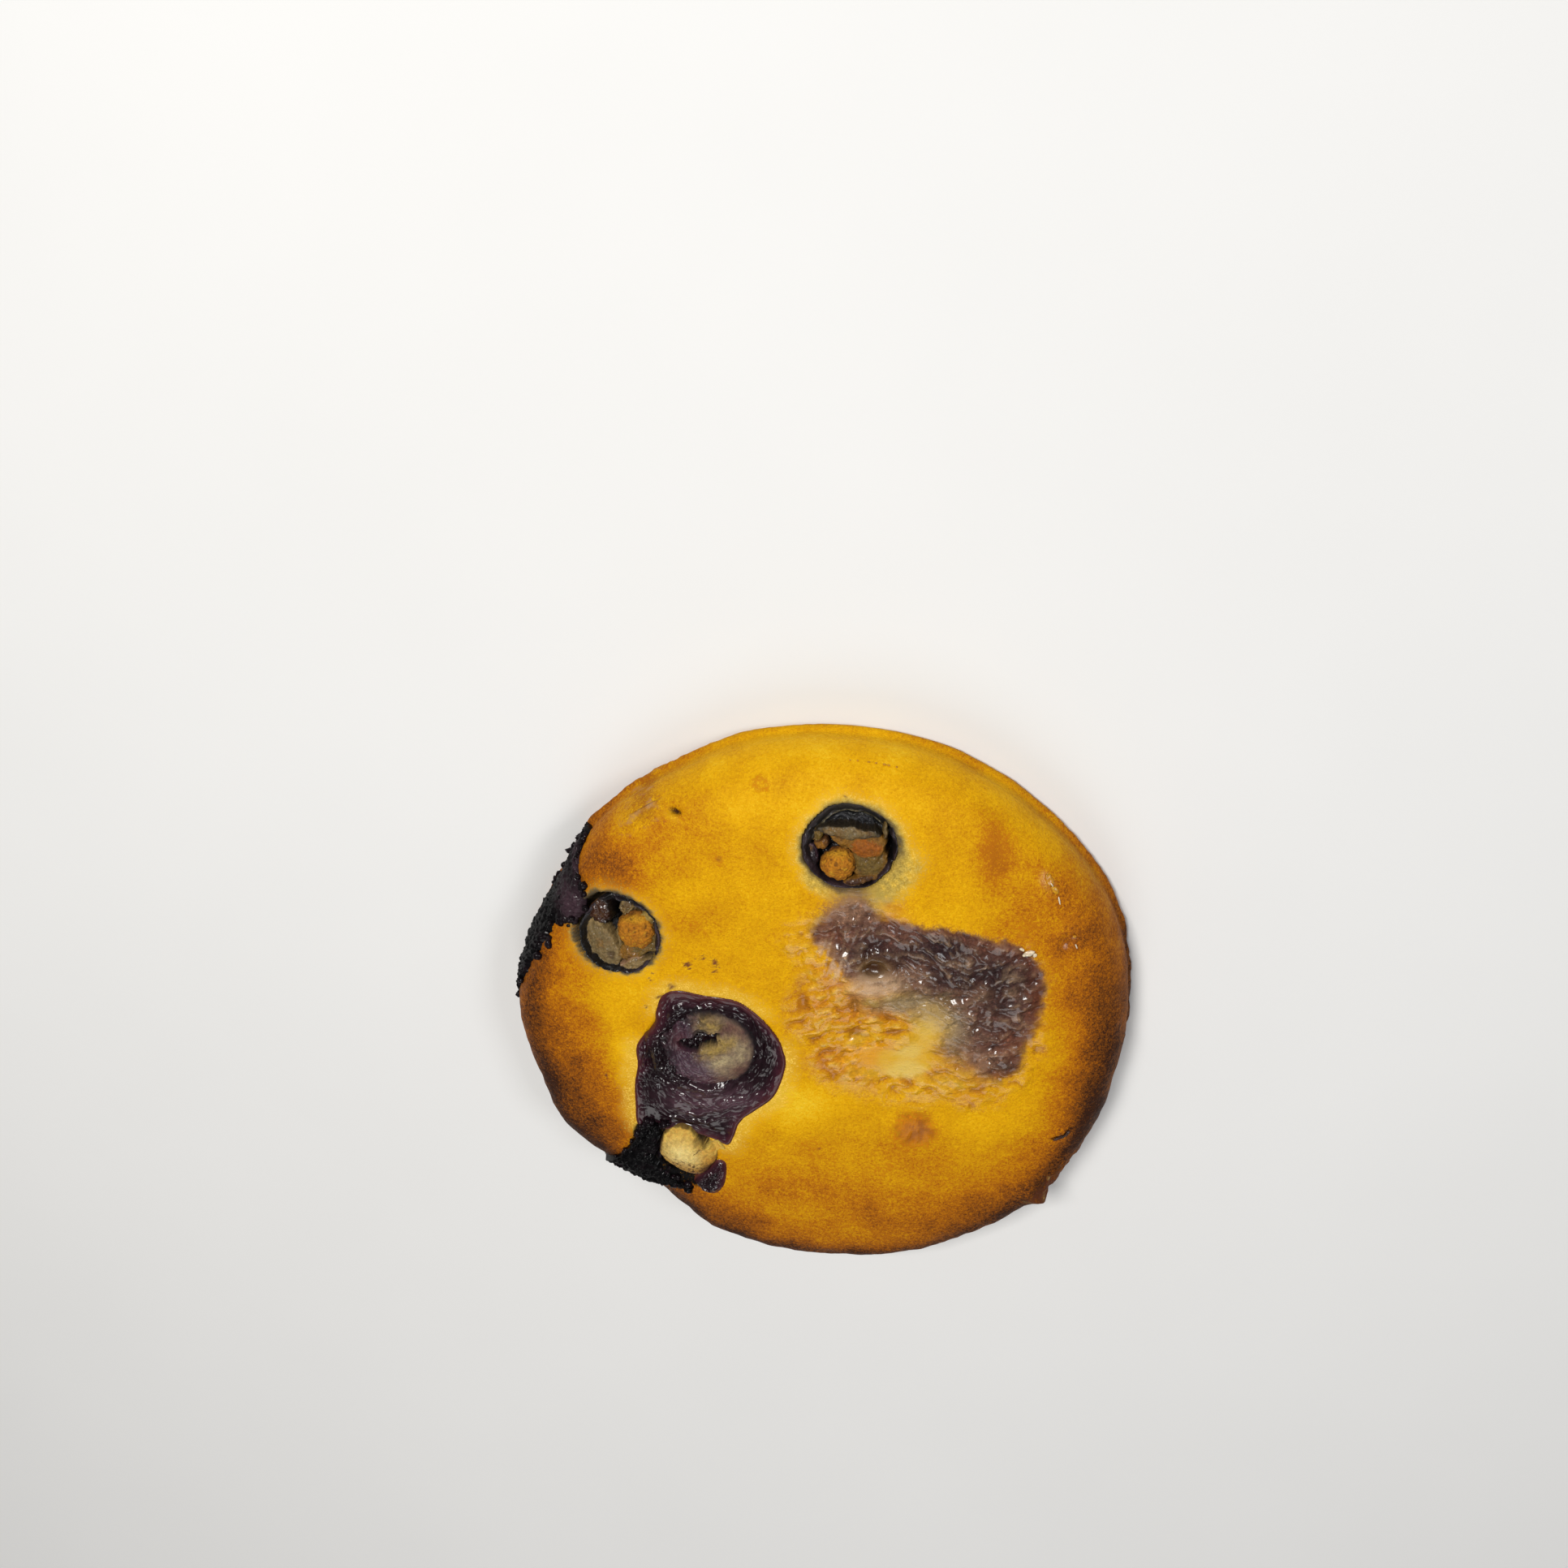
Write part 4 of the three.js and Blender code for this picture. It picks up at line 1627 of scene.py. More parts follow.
@dataclass
class OpenBerry(Berry):
    """A berry whose top has burst: a bowl of skin with collapsed flesh inside."""

    floor: float = -3.0
    lip: float = 0.12
    lumps: tuple[Lump, ...] = ()
    gaps: tuple[Spot, ...] = ()
    crescent: float = 0.0
    crusted: float = 0.0
    thick_side: float = 120.0
    uneven_wall: float = 0.5
    wall: float = 0.16
    seed: int = 30

    def build(self, shop: Workshop, batter: Batter, material: Material) -> Piece:
        """Shapes and dresses the berry.

        Args:
            shop: Finishes the piece.
            batter: The batter it sits in.
            material: Its finish.

        Returns:
            The berry.
        """
        blank, share, x, y, below = self.blank()
        place = plane(x, y)
        angle = blank.azimuth
        stirring = Texture(self.seed + 2)
        wob = stirring.layered(place, 2.6, 3)
        wx = x + 0.75 * stirring.layered(place + 20.0, 2.3, 4, 0.62)
        wy = y + 0.75 * stirring.layered(place + 40.0, 2.3, 4, 0.62)
        far = share * self.half[0]
        spin = on_ring(angle, 2.6, 1.1 * far + 0.9 * wob)
        folds = Texture(self.seed + 1).ridges(spin, 1.25, 3)
        smooth = self.crescent * bell(angle - 1.66, 0.75) * ease(0.76, 0.84, share)
        ring = share + 0.06 * wob
        wall = self.wall * (1 + self.uneven_wall * np.cos(angle - math.radians(self.thick_side)) + 0.5 * wob)
        height = self.floor + (self.lip - self.floor) * ease(0, 1, (ring - 0.97 + 1.5 * wall) / (1.5 * wall))
        height += 0.75 * (folds - 0.4) * ease(1, 0.90, share) * (1 - smooth)
        fold = bell(share - 0.76 - 0.05 * wob, 0.022) * ease(0.1, 0.6, np.sin(angle)) * self.crescent
        height += 0.35 * fold - 0.6 * smooth
        height -= 0.6 * ease(0.96, 1, share)
        crust = self.crusted * ease(0.1, 0.7, np.cos(angle - 3.75)) * ease(0.70, 0.84, share)
        pearls = Texture(self.seed + 3).grains(place, 0.75)
        height += crust * (0.55 * pearls - 0.1)
        paint = Paint(len(x), Tint.SKIN)
        paint.lay(Tint.BLOOM, 0.4 * ease(0.45, 0.8, folds) * ease(-0.2, 0.6, np.sin(angle)))
        paint.lay(Tint.SOOT_WINE, 0.7 * ease(0.2, -0.6, np.sin(angle)))
        paint.lay(Tint.LILAC, 0.35 * ease(0.84, 0.96, share) * np.clip(0.3 + 1.5 * wob, 0, 1))
        # Painted shade: the sunken crescent between the batter and the fallen fruit is laid dark brown.
        paint.lay(Tint.DARK_SKIN_AND_SHADE, smooth)
        # Painted highlight: a thin pale line along the raised fold.
        paint.lay(Tint.PALE_FLESH_AND_HIGHLIGHT, 0.22 * fold)
        paint.lay(Tint.SOOT, 0.95 * crust)
        dry = 0.35 + 0.3 * smooth - 0.3 * crust
        for number, lump in enumerate(self.lumps):
            turn = math.radians(lump.turn)
            across = (wx - lump.x) * math.cos(turn) + (wy - lump.y) * math.sin(turn)
            along = (wy - lump.y) * math.cos(turn) - (wx - lump.x) * math.sin(turn)
            rough = Texture(self.seed + 5 + number)
            crinkle = rough.layered(place, 1.4, 4, 0.7)
            veins = rough.ridges(place, 1.5, 4)
            out = np.hypot(across / lump.wide, along / lump.high) + 0.10 * crinkle
            body = lump.top + 0.30 * crinkle + 0.45 * (veins - 0.45) - 0.45 * out**2
            body += lump.tilt[0] * across + lump.tilt[1] * along - 3.4 * ease(0.90, 1.16, out)
            body += lump.beads * (pearls - 0.3)
            over = ease(-0.06, 0.08, body - height)
            height = np.maximum(height, body)
            paint.lay(lump.tint, over)
            paint.lay(Tint.OLIVE_BROWN, 0.55 * over * ease(0, 0.6, rough.layered(place + 7.0, 2.0, 4, 0.6)))
            # Painted shade: syrup brown in the troughs between the veins.
            paint.lay(Tint.SYRUP, 0.55 * over * ease(0.42, 0.2, veins))
            if lump.edge is not None:
                paint.lay(lump.edge, over * 0.85 * ease(0.66, 0.92, out))
            # Painted shade: the crevice round each lump is laid near black.
            paint.lay(Tint.HOLE_SHADE, 0.55 * over * ease(1, 1.12, out))
            dry = dry * (1 - over) + lump.dry * over
        gap = cover(self.gaps, wx, wy)
        height -= 1.6 * gap
        # Painted shade: the sunken gaps are laid near black.
        paint.lay(Tint.HOLE_SHADE, gap)
        points = self.seat(batter, share, x, y, below, height)
        nodes, marks = (self.node,), {"dry": dry}
        return shop.finish(self.name, blank.mesh, points, material, Slot.BERRY, nodes, marks, paint)


@dataclass
class DomeBerry(Berry):
    """A berry that burst but kept its dome, with a ragged hole in it."""

    rise: float = 1.35

    def build(self, shop: Workshop, batter: Batter, material: Material) -> Piece:
        """Shapes and dresses the berry.

        Args:
            shop: Finishes the piece.
            batter: The batter it sits in.
            material: Its finish.

        Returns:
            The berry.
        """
        blank, share, x, y, below = self.blank()
        place = plane(x, y)
        noise = Texture(50)
        warp = 0.55 * Texture(51).layered(place, 1.1, 3)
        wx, wy = x + 1.3 * warp, y - 1.3 * warp
        height = -1.6 + (self.rise + 1.6) * np.sqrt(np.clip(1 - share**2.6, 0, 1))
        left = ease(-0.6, 0.6, np.cos(blank.azimuth - math.radians(165.0))) * ease(0.45, 0.9, share)
        spin = on_ring(blank.azimuth, 3.0, 6.0 * share)
        creases = Texture(52).ridges(spin + 0.8 * warp[:, None], 1.1, 3)
        lines = Texture(53).ridges(spin * (0.6, 0.6, 1.6) + 0.5 * warp[:, None], 1.0, 2)
        height += 0.20 * noise.layered(place, 3.2, 3) + 0.13 * (lines - 0.4) + 0.9 * left * (creases - 0.35)
        lobe = Spot(1.1, 5.3, 1.9, 1.3, -8, 1, 1.8).at(wx, wy)
        height += 0.65 * lobe
        gap = Spot(3.9, 4.3, 1.5, 0.5, -35, 1, 1.8).at(wx, wy)
        height -= 0.45 * gap
        hole = cover((Spot(-1.9, 1.6, 1.8, 1.25, 10, 1, 3), Spot(0.9, 2.5, 1.9, 1.2, 25, 1, 3)), wx, wy)
        slit = Spot(-0.3, 3.7, 1.3, 0.8, 30, 1, 3).at(x, y)
        height -= 3.4 * hole
        height -= 0.5 * slit
        height -= 1.0 * Spot(0.2, 3.2, 1.7, 0.16, 34, 1, 2).at(x, y)
        brow = bell(np.hypot((wx + 0.2) / 3.3, (wy - 2.2) / 2.0) - 1.0, 0.2)
        height += 0.2 * brow
        points = self.seat(batter, share, x, y, below, height)
        dust = 0.8 + 0.8 * noise.layered(place, 1.1, 4)
        right = ease(-1.5, 2.5, x + 0.25 * y + 1.2 * warp)
        paint = Paint(len(x), Tint.VIOLET)
        paint.lay(Tint.LILAC, 0.65 * Spot(-1.8, -3.6, 4.4, 2, 8, 1, 1.3).at(wx, wy) * dust)
        # The grey of the dome's right side.
        paint.lay(Tint.DOME_GREY_AND_REFLECTION, right * ease(1, 0.8, share) * np.clip(dust, 0.30, 1.0) * 0.85)
        # Painted reflection: a pale grey spot where the light shines on the dome.
        paint.lay(
            Tint.DOME_GREY_AND_REFLECTION, 0.7 * Spot(3, -1.5, 2.5, 1.8, 15, 1, 1.3).at(wx, wy) * np.clip(dust, 0.5, 1.0)
        )
        cream = spots(
            (1.1, 5.3, 1.9, 1.3, -8, 0.9, 1.5), (1.6, 0.6, 2.8, 1.2, 28, 0.95, 1.4),
            (4, 2.2, 1.6, 1.3, 0, 0.7, 1.3),
        )
        paint.lay(Tint.DOME_CREAM, cover(cream, wx, wy) * dust)
        # Pale flesh at two spots: the first a painted highlight where the light shines on the dome, the
        # second the pale right edge.
        paint.lay(
            Tint.PALE_FLESH_AND_HIGHLIGHT,
            0.5
            * cover((Spot(2.8, -1.4, 2, 0.8, 20, 1, 1.4), Spot(5.6, 0.2, 0.8, 2.2, 0, 0.6, 1.4)), wx, wy),
        )
        plum = spots(
            (4.4, 4.3, 1.6, 0.9, -25, 0.9, 1.4), (2.6, 3.7, 0.9, 0.6, 30, 0.7, 1.4),
            (6, 3, 0.9, 1.4, 0, 0.5, 1.3), (1, -5.2, 4, 1, 0, 0.6, 1.3),
            (5.4, -3.5, 1.8, 1.5, 30, 0.8, 1.3),
        )
        paint.lay(Tint.RED_JAM, cover(plum, wx, wy) * 0.8)
        paint.lay(Tint.OLIVE, 0.6 * lobe * ease(0.1, 0.5, noise.layered(place, 0.8, 2)))
        paint.lay(Tint.RED_JAM, 0.55 * Spot(-4, 2.2, 2, 2, 0, 1, 1.4).at(wx, wy))
        paint.lay(Tint.DEEP_WINE, 0.85 * ease(-3.6, -6.4, x + 0.8 * warp))
        # Painted shade: deep wine in the troughs of the left creases; the crests get a wine tone.
        paint.lay(Tint.DEEP_WINE, 0.95 * left * ease(0.7, 0.3, creases))
        paint.lay(Tint.WINE, 0.6 * left * ease(0.5, 0.9, creases))
        # Painted shadow: a deep wine line round the dome's edge, where it overhangs the jam.
        paint.lay(Tint.DEEP_WINE, ease(0.82, 0.94, share + 0.04 * warp))
        # Painted shade: the hole is laid near black.
        paint.lay(Tint.HOLE_SHADE, ease(0.15, 0.45, hole))
        # The sunken slit by the hole is laid dark greyish brown.
        paint.lay(Tint.DARK_SKIN_AND_SHADE, 0.8 * slit)
        dry = np.maximum(0.55 * right + 0.15, ease(0.1, 0.4, hole))
        nodes, marks = (self.node,), {"dry": dry}
        return shop.finish(self.name, blank.mesh, points, material, Slot.BERRY, nodes, marks, paint)


@dataclass
class CappedBerry(Berry):
    """A berry under a cap of batter, with a curled lip at one side."""

    rise: float = 2.2
    outline: tuple[Point, ...] = (
        (5.3, 0.6), (6.6, 1.0), (5.2, 3.7), (3.9, 3.5), (3.4, 2.2), (2.5, 2.9), (2.2, 4.2), (0.8, 5.5),
        (-1.0, 5.8), (-3.0, 5.0), (-4.0, 3.2), (-4.9, 0.8), (-5.3, -0.6), (-4.8, -2.6), (-3.2, -4.8),
        (-1.2, -6.0), (0.8, -5.8), (2.4, -4.4), (3.6, -2.8), (4.8, -1.4),
    )

    def build(self, shop: Workshop, batter: Batter, material: Material) -> Piece:
        """Shapes and dresses the cap.

        Args:
            shop: Finishes the piece.
            batter: The batter it rises from.
            material: Its finish.

        Returns:
            The capped berry.
        """
        blank, share, _, _, below = self.blank()
        line = Outline(self.outline)
        circle = plane(np.cos(blank.azimuth), np.sin(blank.azimuth))
        reach = line.reach(blank.azimuth) * (1 + 0.10 * Texture(62).layered(circle, 0.35, 3, 0.6))
        x = line.middle[0] + share * reach * np.cos(blank.azimuth)
        y = line.middle[1] + share * reach * np.sin(blank.azimuth)
        place = plane(x, y)
        noise = Texture(60)
        dome = np.clip(1 - ((x + 0.4) ** 2 / 5.3**2 + (y + 0.4) ** 2 / 5.9**2), 0, 1) ** 0.8
        height = -0.3 + (self.rise + 0.3) * dome + 0.16 * noise.layered(place, 2.4, 4, 0.6)
        height += 0.14 * (Texture(63).ridges(place, 1.3, 3) - 0.4)
        depth = line.depth(x, y) * (1 - below)
        petal = Spot(4.9, 1.7, 2, 2.2, -30, 1, 1.6).at(x, y)
        height += 0.45 * petal * ease(0, 0.6, depth)
        notch = Spot(3, 3.3, 1.6, 1, 35, 1, 1.8).at(x, y)
        height -= 1.6 * notch
        torn = ease(-0.2, 0.6, np.cos(blank.azimuth - math.radians(75.0)))
        curl = bell(depth - 0.4 - 0.2 * noise.layered(place, 0.8, 2), 0.25) * torn
        height += 0.4 * curl * (1 - notch)
        height -= 0.8 * ease(0.35, 0, depth)
        height += 0.18 * Texture(64).layered(place, 0.8, 3, 0.6) * ease(1.6, 0.6, depth)
        points = self.seat(batter, share, x, y, below, height)
        pits = ease(0, 0.30, Texture(61).layered(place, 0.5, 3, 0.6))
        mottle = ease(-0.3, 0.5, noise.layered(place + 5.0, 1.1, 4, 0.6))
        low = ease(0.6, -3.8, y + 0.25 * x + 1.4 * noise.layered(place, 1.6, 3))
        paint = Paint(len(x), Tint.CAP)
        paint.lay(Tint.TOAST, 0.55 * mottle * ease(1.5, 5, np.hypot(x + 1.0, y + 0.2)))
        paint.lay(Tint.CAP_PALE, 0.95 * Spot(-1, -0.2, 3.4, 3.4, 0, 1, 1.3).at(x, y) * (0.7 + 0.3 * mottle))
        paint.lay(Tint.TOAST, 0.55 * ease(1, 3.5, x) * (1 - petal))
        paint.lay(Tint.TAN, 0.55 * low)
        paint.lay(Tint.DARK_BROWN, pits * (0.22 + 0.75 * low))
        paint.lay(Tint.SYRUP, 0.9 * Spot(3, -3.4, 2.6, 1.3, 38, 1, 1.6).at(x, y))
        paint.lay(Tint.SYRUP, 0.6 * ease(-3.6, -5.6, x - 0.2 * y + 1.6 * noise.layered(place + 3.0, 1.2, 3)))
        paint.lay(Tint.SOFT_MAUVE, 0.6 * Spot(0.6, -5.2, 1.6, 0.7, 0, 1, 1.6).at(x, y))
        # Painted highlight: pale custard along the curled edge and the rim of the lip.
        paint.lay(Tint.PALE_CUSTARD, 0.6 * curl + 0.5 * petal * ease(0.9, 0.2, depth))
        # Painted shade: the sunken edge where the cap meets the batter is laid dark brown, then syrup at the
        # very rim.
        paint.lay(
            Tint.DARK_BROWN,
            0.8 * ease(0.7, 0.2, depth + 0.5 * noise.layered(place + 9.0, 0.9, 3)) * (1 - petal),
        )
        paint.lay(Tint.SYRUP, 0.8 * ease(0.22, 0, depth))
        # Painted shadow: the notch under the curled lip is laid near black.
        paint.lay(Tint.HOLE_SHADE, 0.9 * notch)
        nodes, marks = (self.node,), {"dry": np.full(len(x), 0.75)}
        return shop.finish(self.name, blank.mesh, points, material, Slot.BERRY, nodes, marks, paint)


@dataclass
class Jam:
    """Jam that ran from a burst berry and set in a shallow bed."""

    name: str
    outline: Outline
    nodes: tuple[str, ...]
    hub: Point
    cuts: int = 88
    sunk: float = 0.55
    wrinkle: float = 1.9
    margin: float = 1.7
    shelf: Spot | None = None
    moat: bool = False

    def build(self, shop: Workshop, batter: Batter, material: Material) -> Piece:
        """Shapes and dresses the jam.

        Args:
            shop: Finishes the piece.
            batter: The batter it lies on.
            material: Its finish.

        Returns:
            The jam.
        """
        blank = round_blank(self.cuts)
        share, below = plan_shares(blank.path, 0.97)
        circle = plane(np.cos(blank.azimuth), np.sin(blank.azimuth))
        reach = self.outline.reach(blank.azimuth) + 0.45 * Texture(45).layered(circle, 0.35, 4, 0.6)
        u = self.outline.middle[0] + share * reach * np.cos(blank.azimuth)
        v = self.outline.middle[1] + share * reach * np.sin(blank.azimuth)
        points, out = batter.form.skin(u, v)
        x, y = points[:, 0], points[:, 1]
        place = plane(u, v)
        depth = self.outline.depth(u, v) * (1 - below)
        far = np.hypot(x - self.hub[0], y - self.hub[1])
        angle = np.arctan2(y - self.hub[1], x - self.hub[0])
        stirred = Texture(42).layered(place, 4.0, 3)
        top = bell(np.degrees(angle) - 100.0, 40.0) + 0.6 * bell(np.degrees(angle) + 50.0, 35.0)
        margin = self.margin * (0.35 + 0.9 * top)
        inner = ease(0.2, margin + 0.8, depth + 0.3 * stirred)
        swirl = on_ring(angle, 4.0, 1.15 * far + 1.6 * stirred)
        creases = Texture(40).ridges(swirl, self.wrinkle, 3)
        fine = Texture(41).ridges(swirl * (1.6, 1.6, 1.0), self.wrinkle * 0.55, 2)
        rolls = Texture(43).layered(place, 3.2, 2)
        left = ease(0.2, 0.9, np.cos(angle - math.radians(170.0)))
        force = 0.60 + 1.0 * left
        lift = 0.18 * ease(0, 0.5, depth) - 0.25 * ease(0.12, 0, depth)
        lift += inner * (-self.sunk + force * (0.95 * (creases - 0.35) + 0.16 * (fine - 0.4)) + 0.40 * rolls)
        lift += 0.05 * Texture(44).layered(place, 0.9, 2) * (1 - inner)
        raised = np.zeros(len(u)) if self.shelf is None else self.shelf.at(x, y)
        lift += 0.5 * raised
        if self.moat:
            ring = np.hypot((x - self.hub[0]) / 8.2, (y - self.hub[1]) / 7.8) + 0.10 * rolls
            right = ease(-0.35, 0.45, np.cos(angle - math.radians(25.0)))
            lift -= 0.55 * bell(ring - 1.05, 0.08) * right
            lift += 1.3 * bell(ring - 0.95, 0.16) * (1 - right)
        lift += batter.height(u, v)
        lift = lift * (1 - below) - 2.2 * below
        points = points + out * lift[:, None]
        border = ease(margin + 0.3, 0.2, depth + 0.4 * stirred)
        paint = Paint(len(u), Tint.WINE)
        paint.lay(Tint.DEEP_WINE, ease(margin, margin + 1.6, depth + stirred) * (0.9 - 0.6 * raised))
        # Painted sheen: lilac on the raised shelf, brightest on the crests of its creases.
        paint.lay(Tint.LILAC, 0.55 * raised * (0.2 + 1.1 * creases))
        # Painted shade: the troughs of the creases are laid near black.
        paint.lay(Tint.HOLE_SHADE, 0.7 * inner * ease(0.32, 0.08, creases) * (1 - 0.5 * raised))
        paint.lay(Tint.DEEP_WINE, 0.75 * left * ease(1.5, 3.5, depth))
        paint.lay(Tint.RED_JAM, 0.65 * border)
        paint.lay(Tint.RED_BROWN, 0.6 * ease(0.5, 0, depth))
        marks = {"dry": 0.35 * border}
        return shop.finish(self.name, blank.mesh, points, material, Slot.JAM, self.nodes, marks, paint)


@dataclass(frozen=True)
class Crumb:
    """A toasted crumb inside an open berry."""

    name: str
    node: str
    middle: tuple[float, float, float]
    half: tuple[float, float, float]
    seed: int

    def build(self, shop: Workshop, material: Material) -> Piece:
        """Shapes and dresses the crumb.

        Args:
            shop: Finishes the piece.
            material: Its finish.

        Returns:
            The crumb.
        """
        mesh = bmesh.new()
        bmesh.ops.create_icosphere(mesh, subdivisions=6, radius=1.0)
        unit = np.array([vertex.co[:] for vertex in mesh.verts])
        unit /= np.linalg.norm(unit, axis=1)[:, None]
        noise = Texture(self.seed)
        place = unit * np.array(self.half)
        swell = 1 + 0.20 * noise.layered(place, 2.6, 2) + 0.12 * noise.layered(place, 0.9, 4, 0.6)
        swell += 0.10 * (noise.ridges(place, 1.1, 3) - 0.4)
        points = place * swell[:, None] + np.array(self.middle)
        rise = unit[:, 2]
        paint = Paint(len(unit), Tint.TOAST)
        paint.lay(Tint.TAN, 0.15 + 0.8 * noise.layered(place, 1.2, 3))
        # Pale custard patches, strongest on the top: partly the crumb's own pale crust, partly painted
        # highlight.
        paint.lay(Tint.CUSTARD, 0.6 * ease(0.1, 0.5, noise.layered(place + 9.0, 0.7, 3)) * rise)
        # Painted highlight: a pale band on the upper side toward the key light.
        paint.lay(Tint.CUSTARD, 0.5 * ease(0.5, 0.9, unit[:, 1]) * ease(0, 0.5, rise))
        paint.lay(Tint.SYRUP, 0.6 * ease(0.35, 0.10, noise.ridges(place, 0.9, 2)))
        paint.lay(Tint.LEATHER, 0.8 * ease(0.6, 0, rise))
        paint.lay(Tint.BROWN, 0.8 * ease(0.3, -0.3, rise))
        dry = {"dry": np.full(len(unit), 0.85)}
        return shop.finish(self.name, mesh, points, material, Slot.CRUMB, (self.node,), dry, paint)


@dataclass(frozen=True)
class Flake:
    """A flake on the crust: its place, half sizes, turn in degrees and colour."""

    x: float
    y: float
    wide: float
    high: float
    thick: float
    turn: float
    tint: Tint

    def laid(self, batter: Batter, unit: Array) -> Array:
        """Lays a ball down as this flake.

        Args:
            batter: The batter it lies on.
            unit: The ball's vertices.

        Returns:
            The flake's points.
        """
        spot = batter.form.unroll([(self.x, self.y)])[0]
        seat, out = batter.form.skin(*(np.array([value]) for value in spot))
        angle = math.radians(self.turn)
        side = np.array((math.cos(angle), math.sin(angle), 0.0))
        side = side - out[0] * (side @ out[0])
        ahead = np.cross(out[0], side)
        ragged = 1 + 0.45 * Texture(67).layered(unit + seat[0], 0.7, 3, 0.6)
        curl = 0.35 * self.thick * (unit[:, 0] ** 2 + unit[:, 1] ** 2)
        shape = unit * np.array((self.wide, self.high, self.thick)) * ragged[:, None]
        rise = shape[:, 2] + curl + 0.35 * self.thick
        rise = rise + float(batter.height(*seat[0][:2].reshape(2, 1))[0])
        return seat + np.outer(shape[:, 0], side) + np.outer(shape[:, 1], ahead) + np.outer(rise, out[0])


@dataclass(frozen=True)
class Flakes:
    """Flakes and crumbs that stuck to the crust: some listed one by one, small ones strewn by the far rim."""

    placed: tuple[Flake, ...] = (
        Flake(31.3, 16.6, 0.85, 0.42, 0.40, 15, Tint.WHITE_CRUMB),
        Flake(30.3, 17.2, 0.40, 0.22, 0.25, -30, Tint.WHITE_CRUMB),
        Flake(32.1, 16.2, 0.35, 0.30, 0.30, 50, Tint.WHITE_CRUMB),
        Flake(30.6, 16.2, 0.25, 0.20, 0.25, 0, Tint.WHITE_CRUMB),
        Flake(34.1, 27.6, 0.6, 1.1, 0.10, 20, Tint.GOLD),
        Flake(34.9, 26.0, 0.45, 0.8, 0.10, 40, Tint.GOLD),
        Flake(35.4, 24.4, 0.12, 0.7, 0.18, 12, Tint.WHITE_CRUMB),
        Flake(34.4, 26.9, 0.10, 0.4, 0.16, 30, Tint.WHITE_CRUMB),
        Flake(37.6, 18.6, 0.30, 0.20, 0.15, 0, Tint.GOLD),
        Flake(37.9, 17.0, 0.12, 0.40, 0.14, 20, Tint.WHITE_CRUMB),
        Flake(36.9, -18.2, 0.95, 0.26, 0.22, 14, Tint.DARK_BROWN),
        Flake(38.2, -17.5, 0.75, 0.22, 0.24, 46, Tint.DARK_BROWN),
        Flake(37.3, -17.5, 0.50, 0.16, 0.20, 28, Tint.DARK_BROWN),
        Flake(37.6, -18.0, 0.40, 0.14, 0.26, 28, Tint.SKIN),
    )
    strewn: int = 9
    seed: int = 66

    def build(self, shop: Workshop, batter: Batter, material: Material) -> Piece:
        """Lays the flakes, as one piece.

        Args:
            shop: Finishes the piece.
            batter: The batter they lie on.
            material: Their finish.

        Returns:
            The flakes.
        """
        draw = np.random.default_rng(self.seed)
        flakes = list(self.placed)
        for _ in range(self.strewn):
            size = float(draw.uniform(0.10, 0.22))
            x, y = float(draw.uniform(5.0, 14.0)), float(draw.uniform(45.8, 47.6))
            flakes.append(Flake(x, y, size, 0.8 * size, 0.8 * size, 0.0, Tint.GOLD))
        mesh = bmesh.new()
        places, tints = [], []
        for flake in flakes:
            ball = bmesh.ops.create_icosphere(mesh, subdivisions=3, radius=1.0)["verts"]
            places.append(flake.laid(batter, np.array([vertex.co[:] for vertex in ball])))
            tints += [flake.tint] * len(ball)
        points = np.vstack(places)
        paint = Paint(len(points), Tint.WHITE_CRUMB)
        for tint in (Tint.GOLD, Tint.DARK_BROWN, Tint.SKIN):
            paint.lay(tint, np.array([float(one is tint) for one in tints]))
        golden = np.array([float(one is Tint.GOLD) for one in tints])
        toasted = ease(-0.2, 0.5, Texture(68).layered(points, 0.8, 3))
        paint.lay(Tint.ORANGE, 0.6 * toasted * golden)
        dry = {"dry": np.full(len(points), 0.1)}
        return shop.finish("crust_flakes", mesh, points, material, Slot.CRUMB, (), dry, paint)


# ------------------------ burnt juice

LIP = 50.0


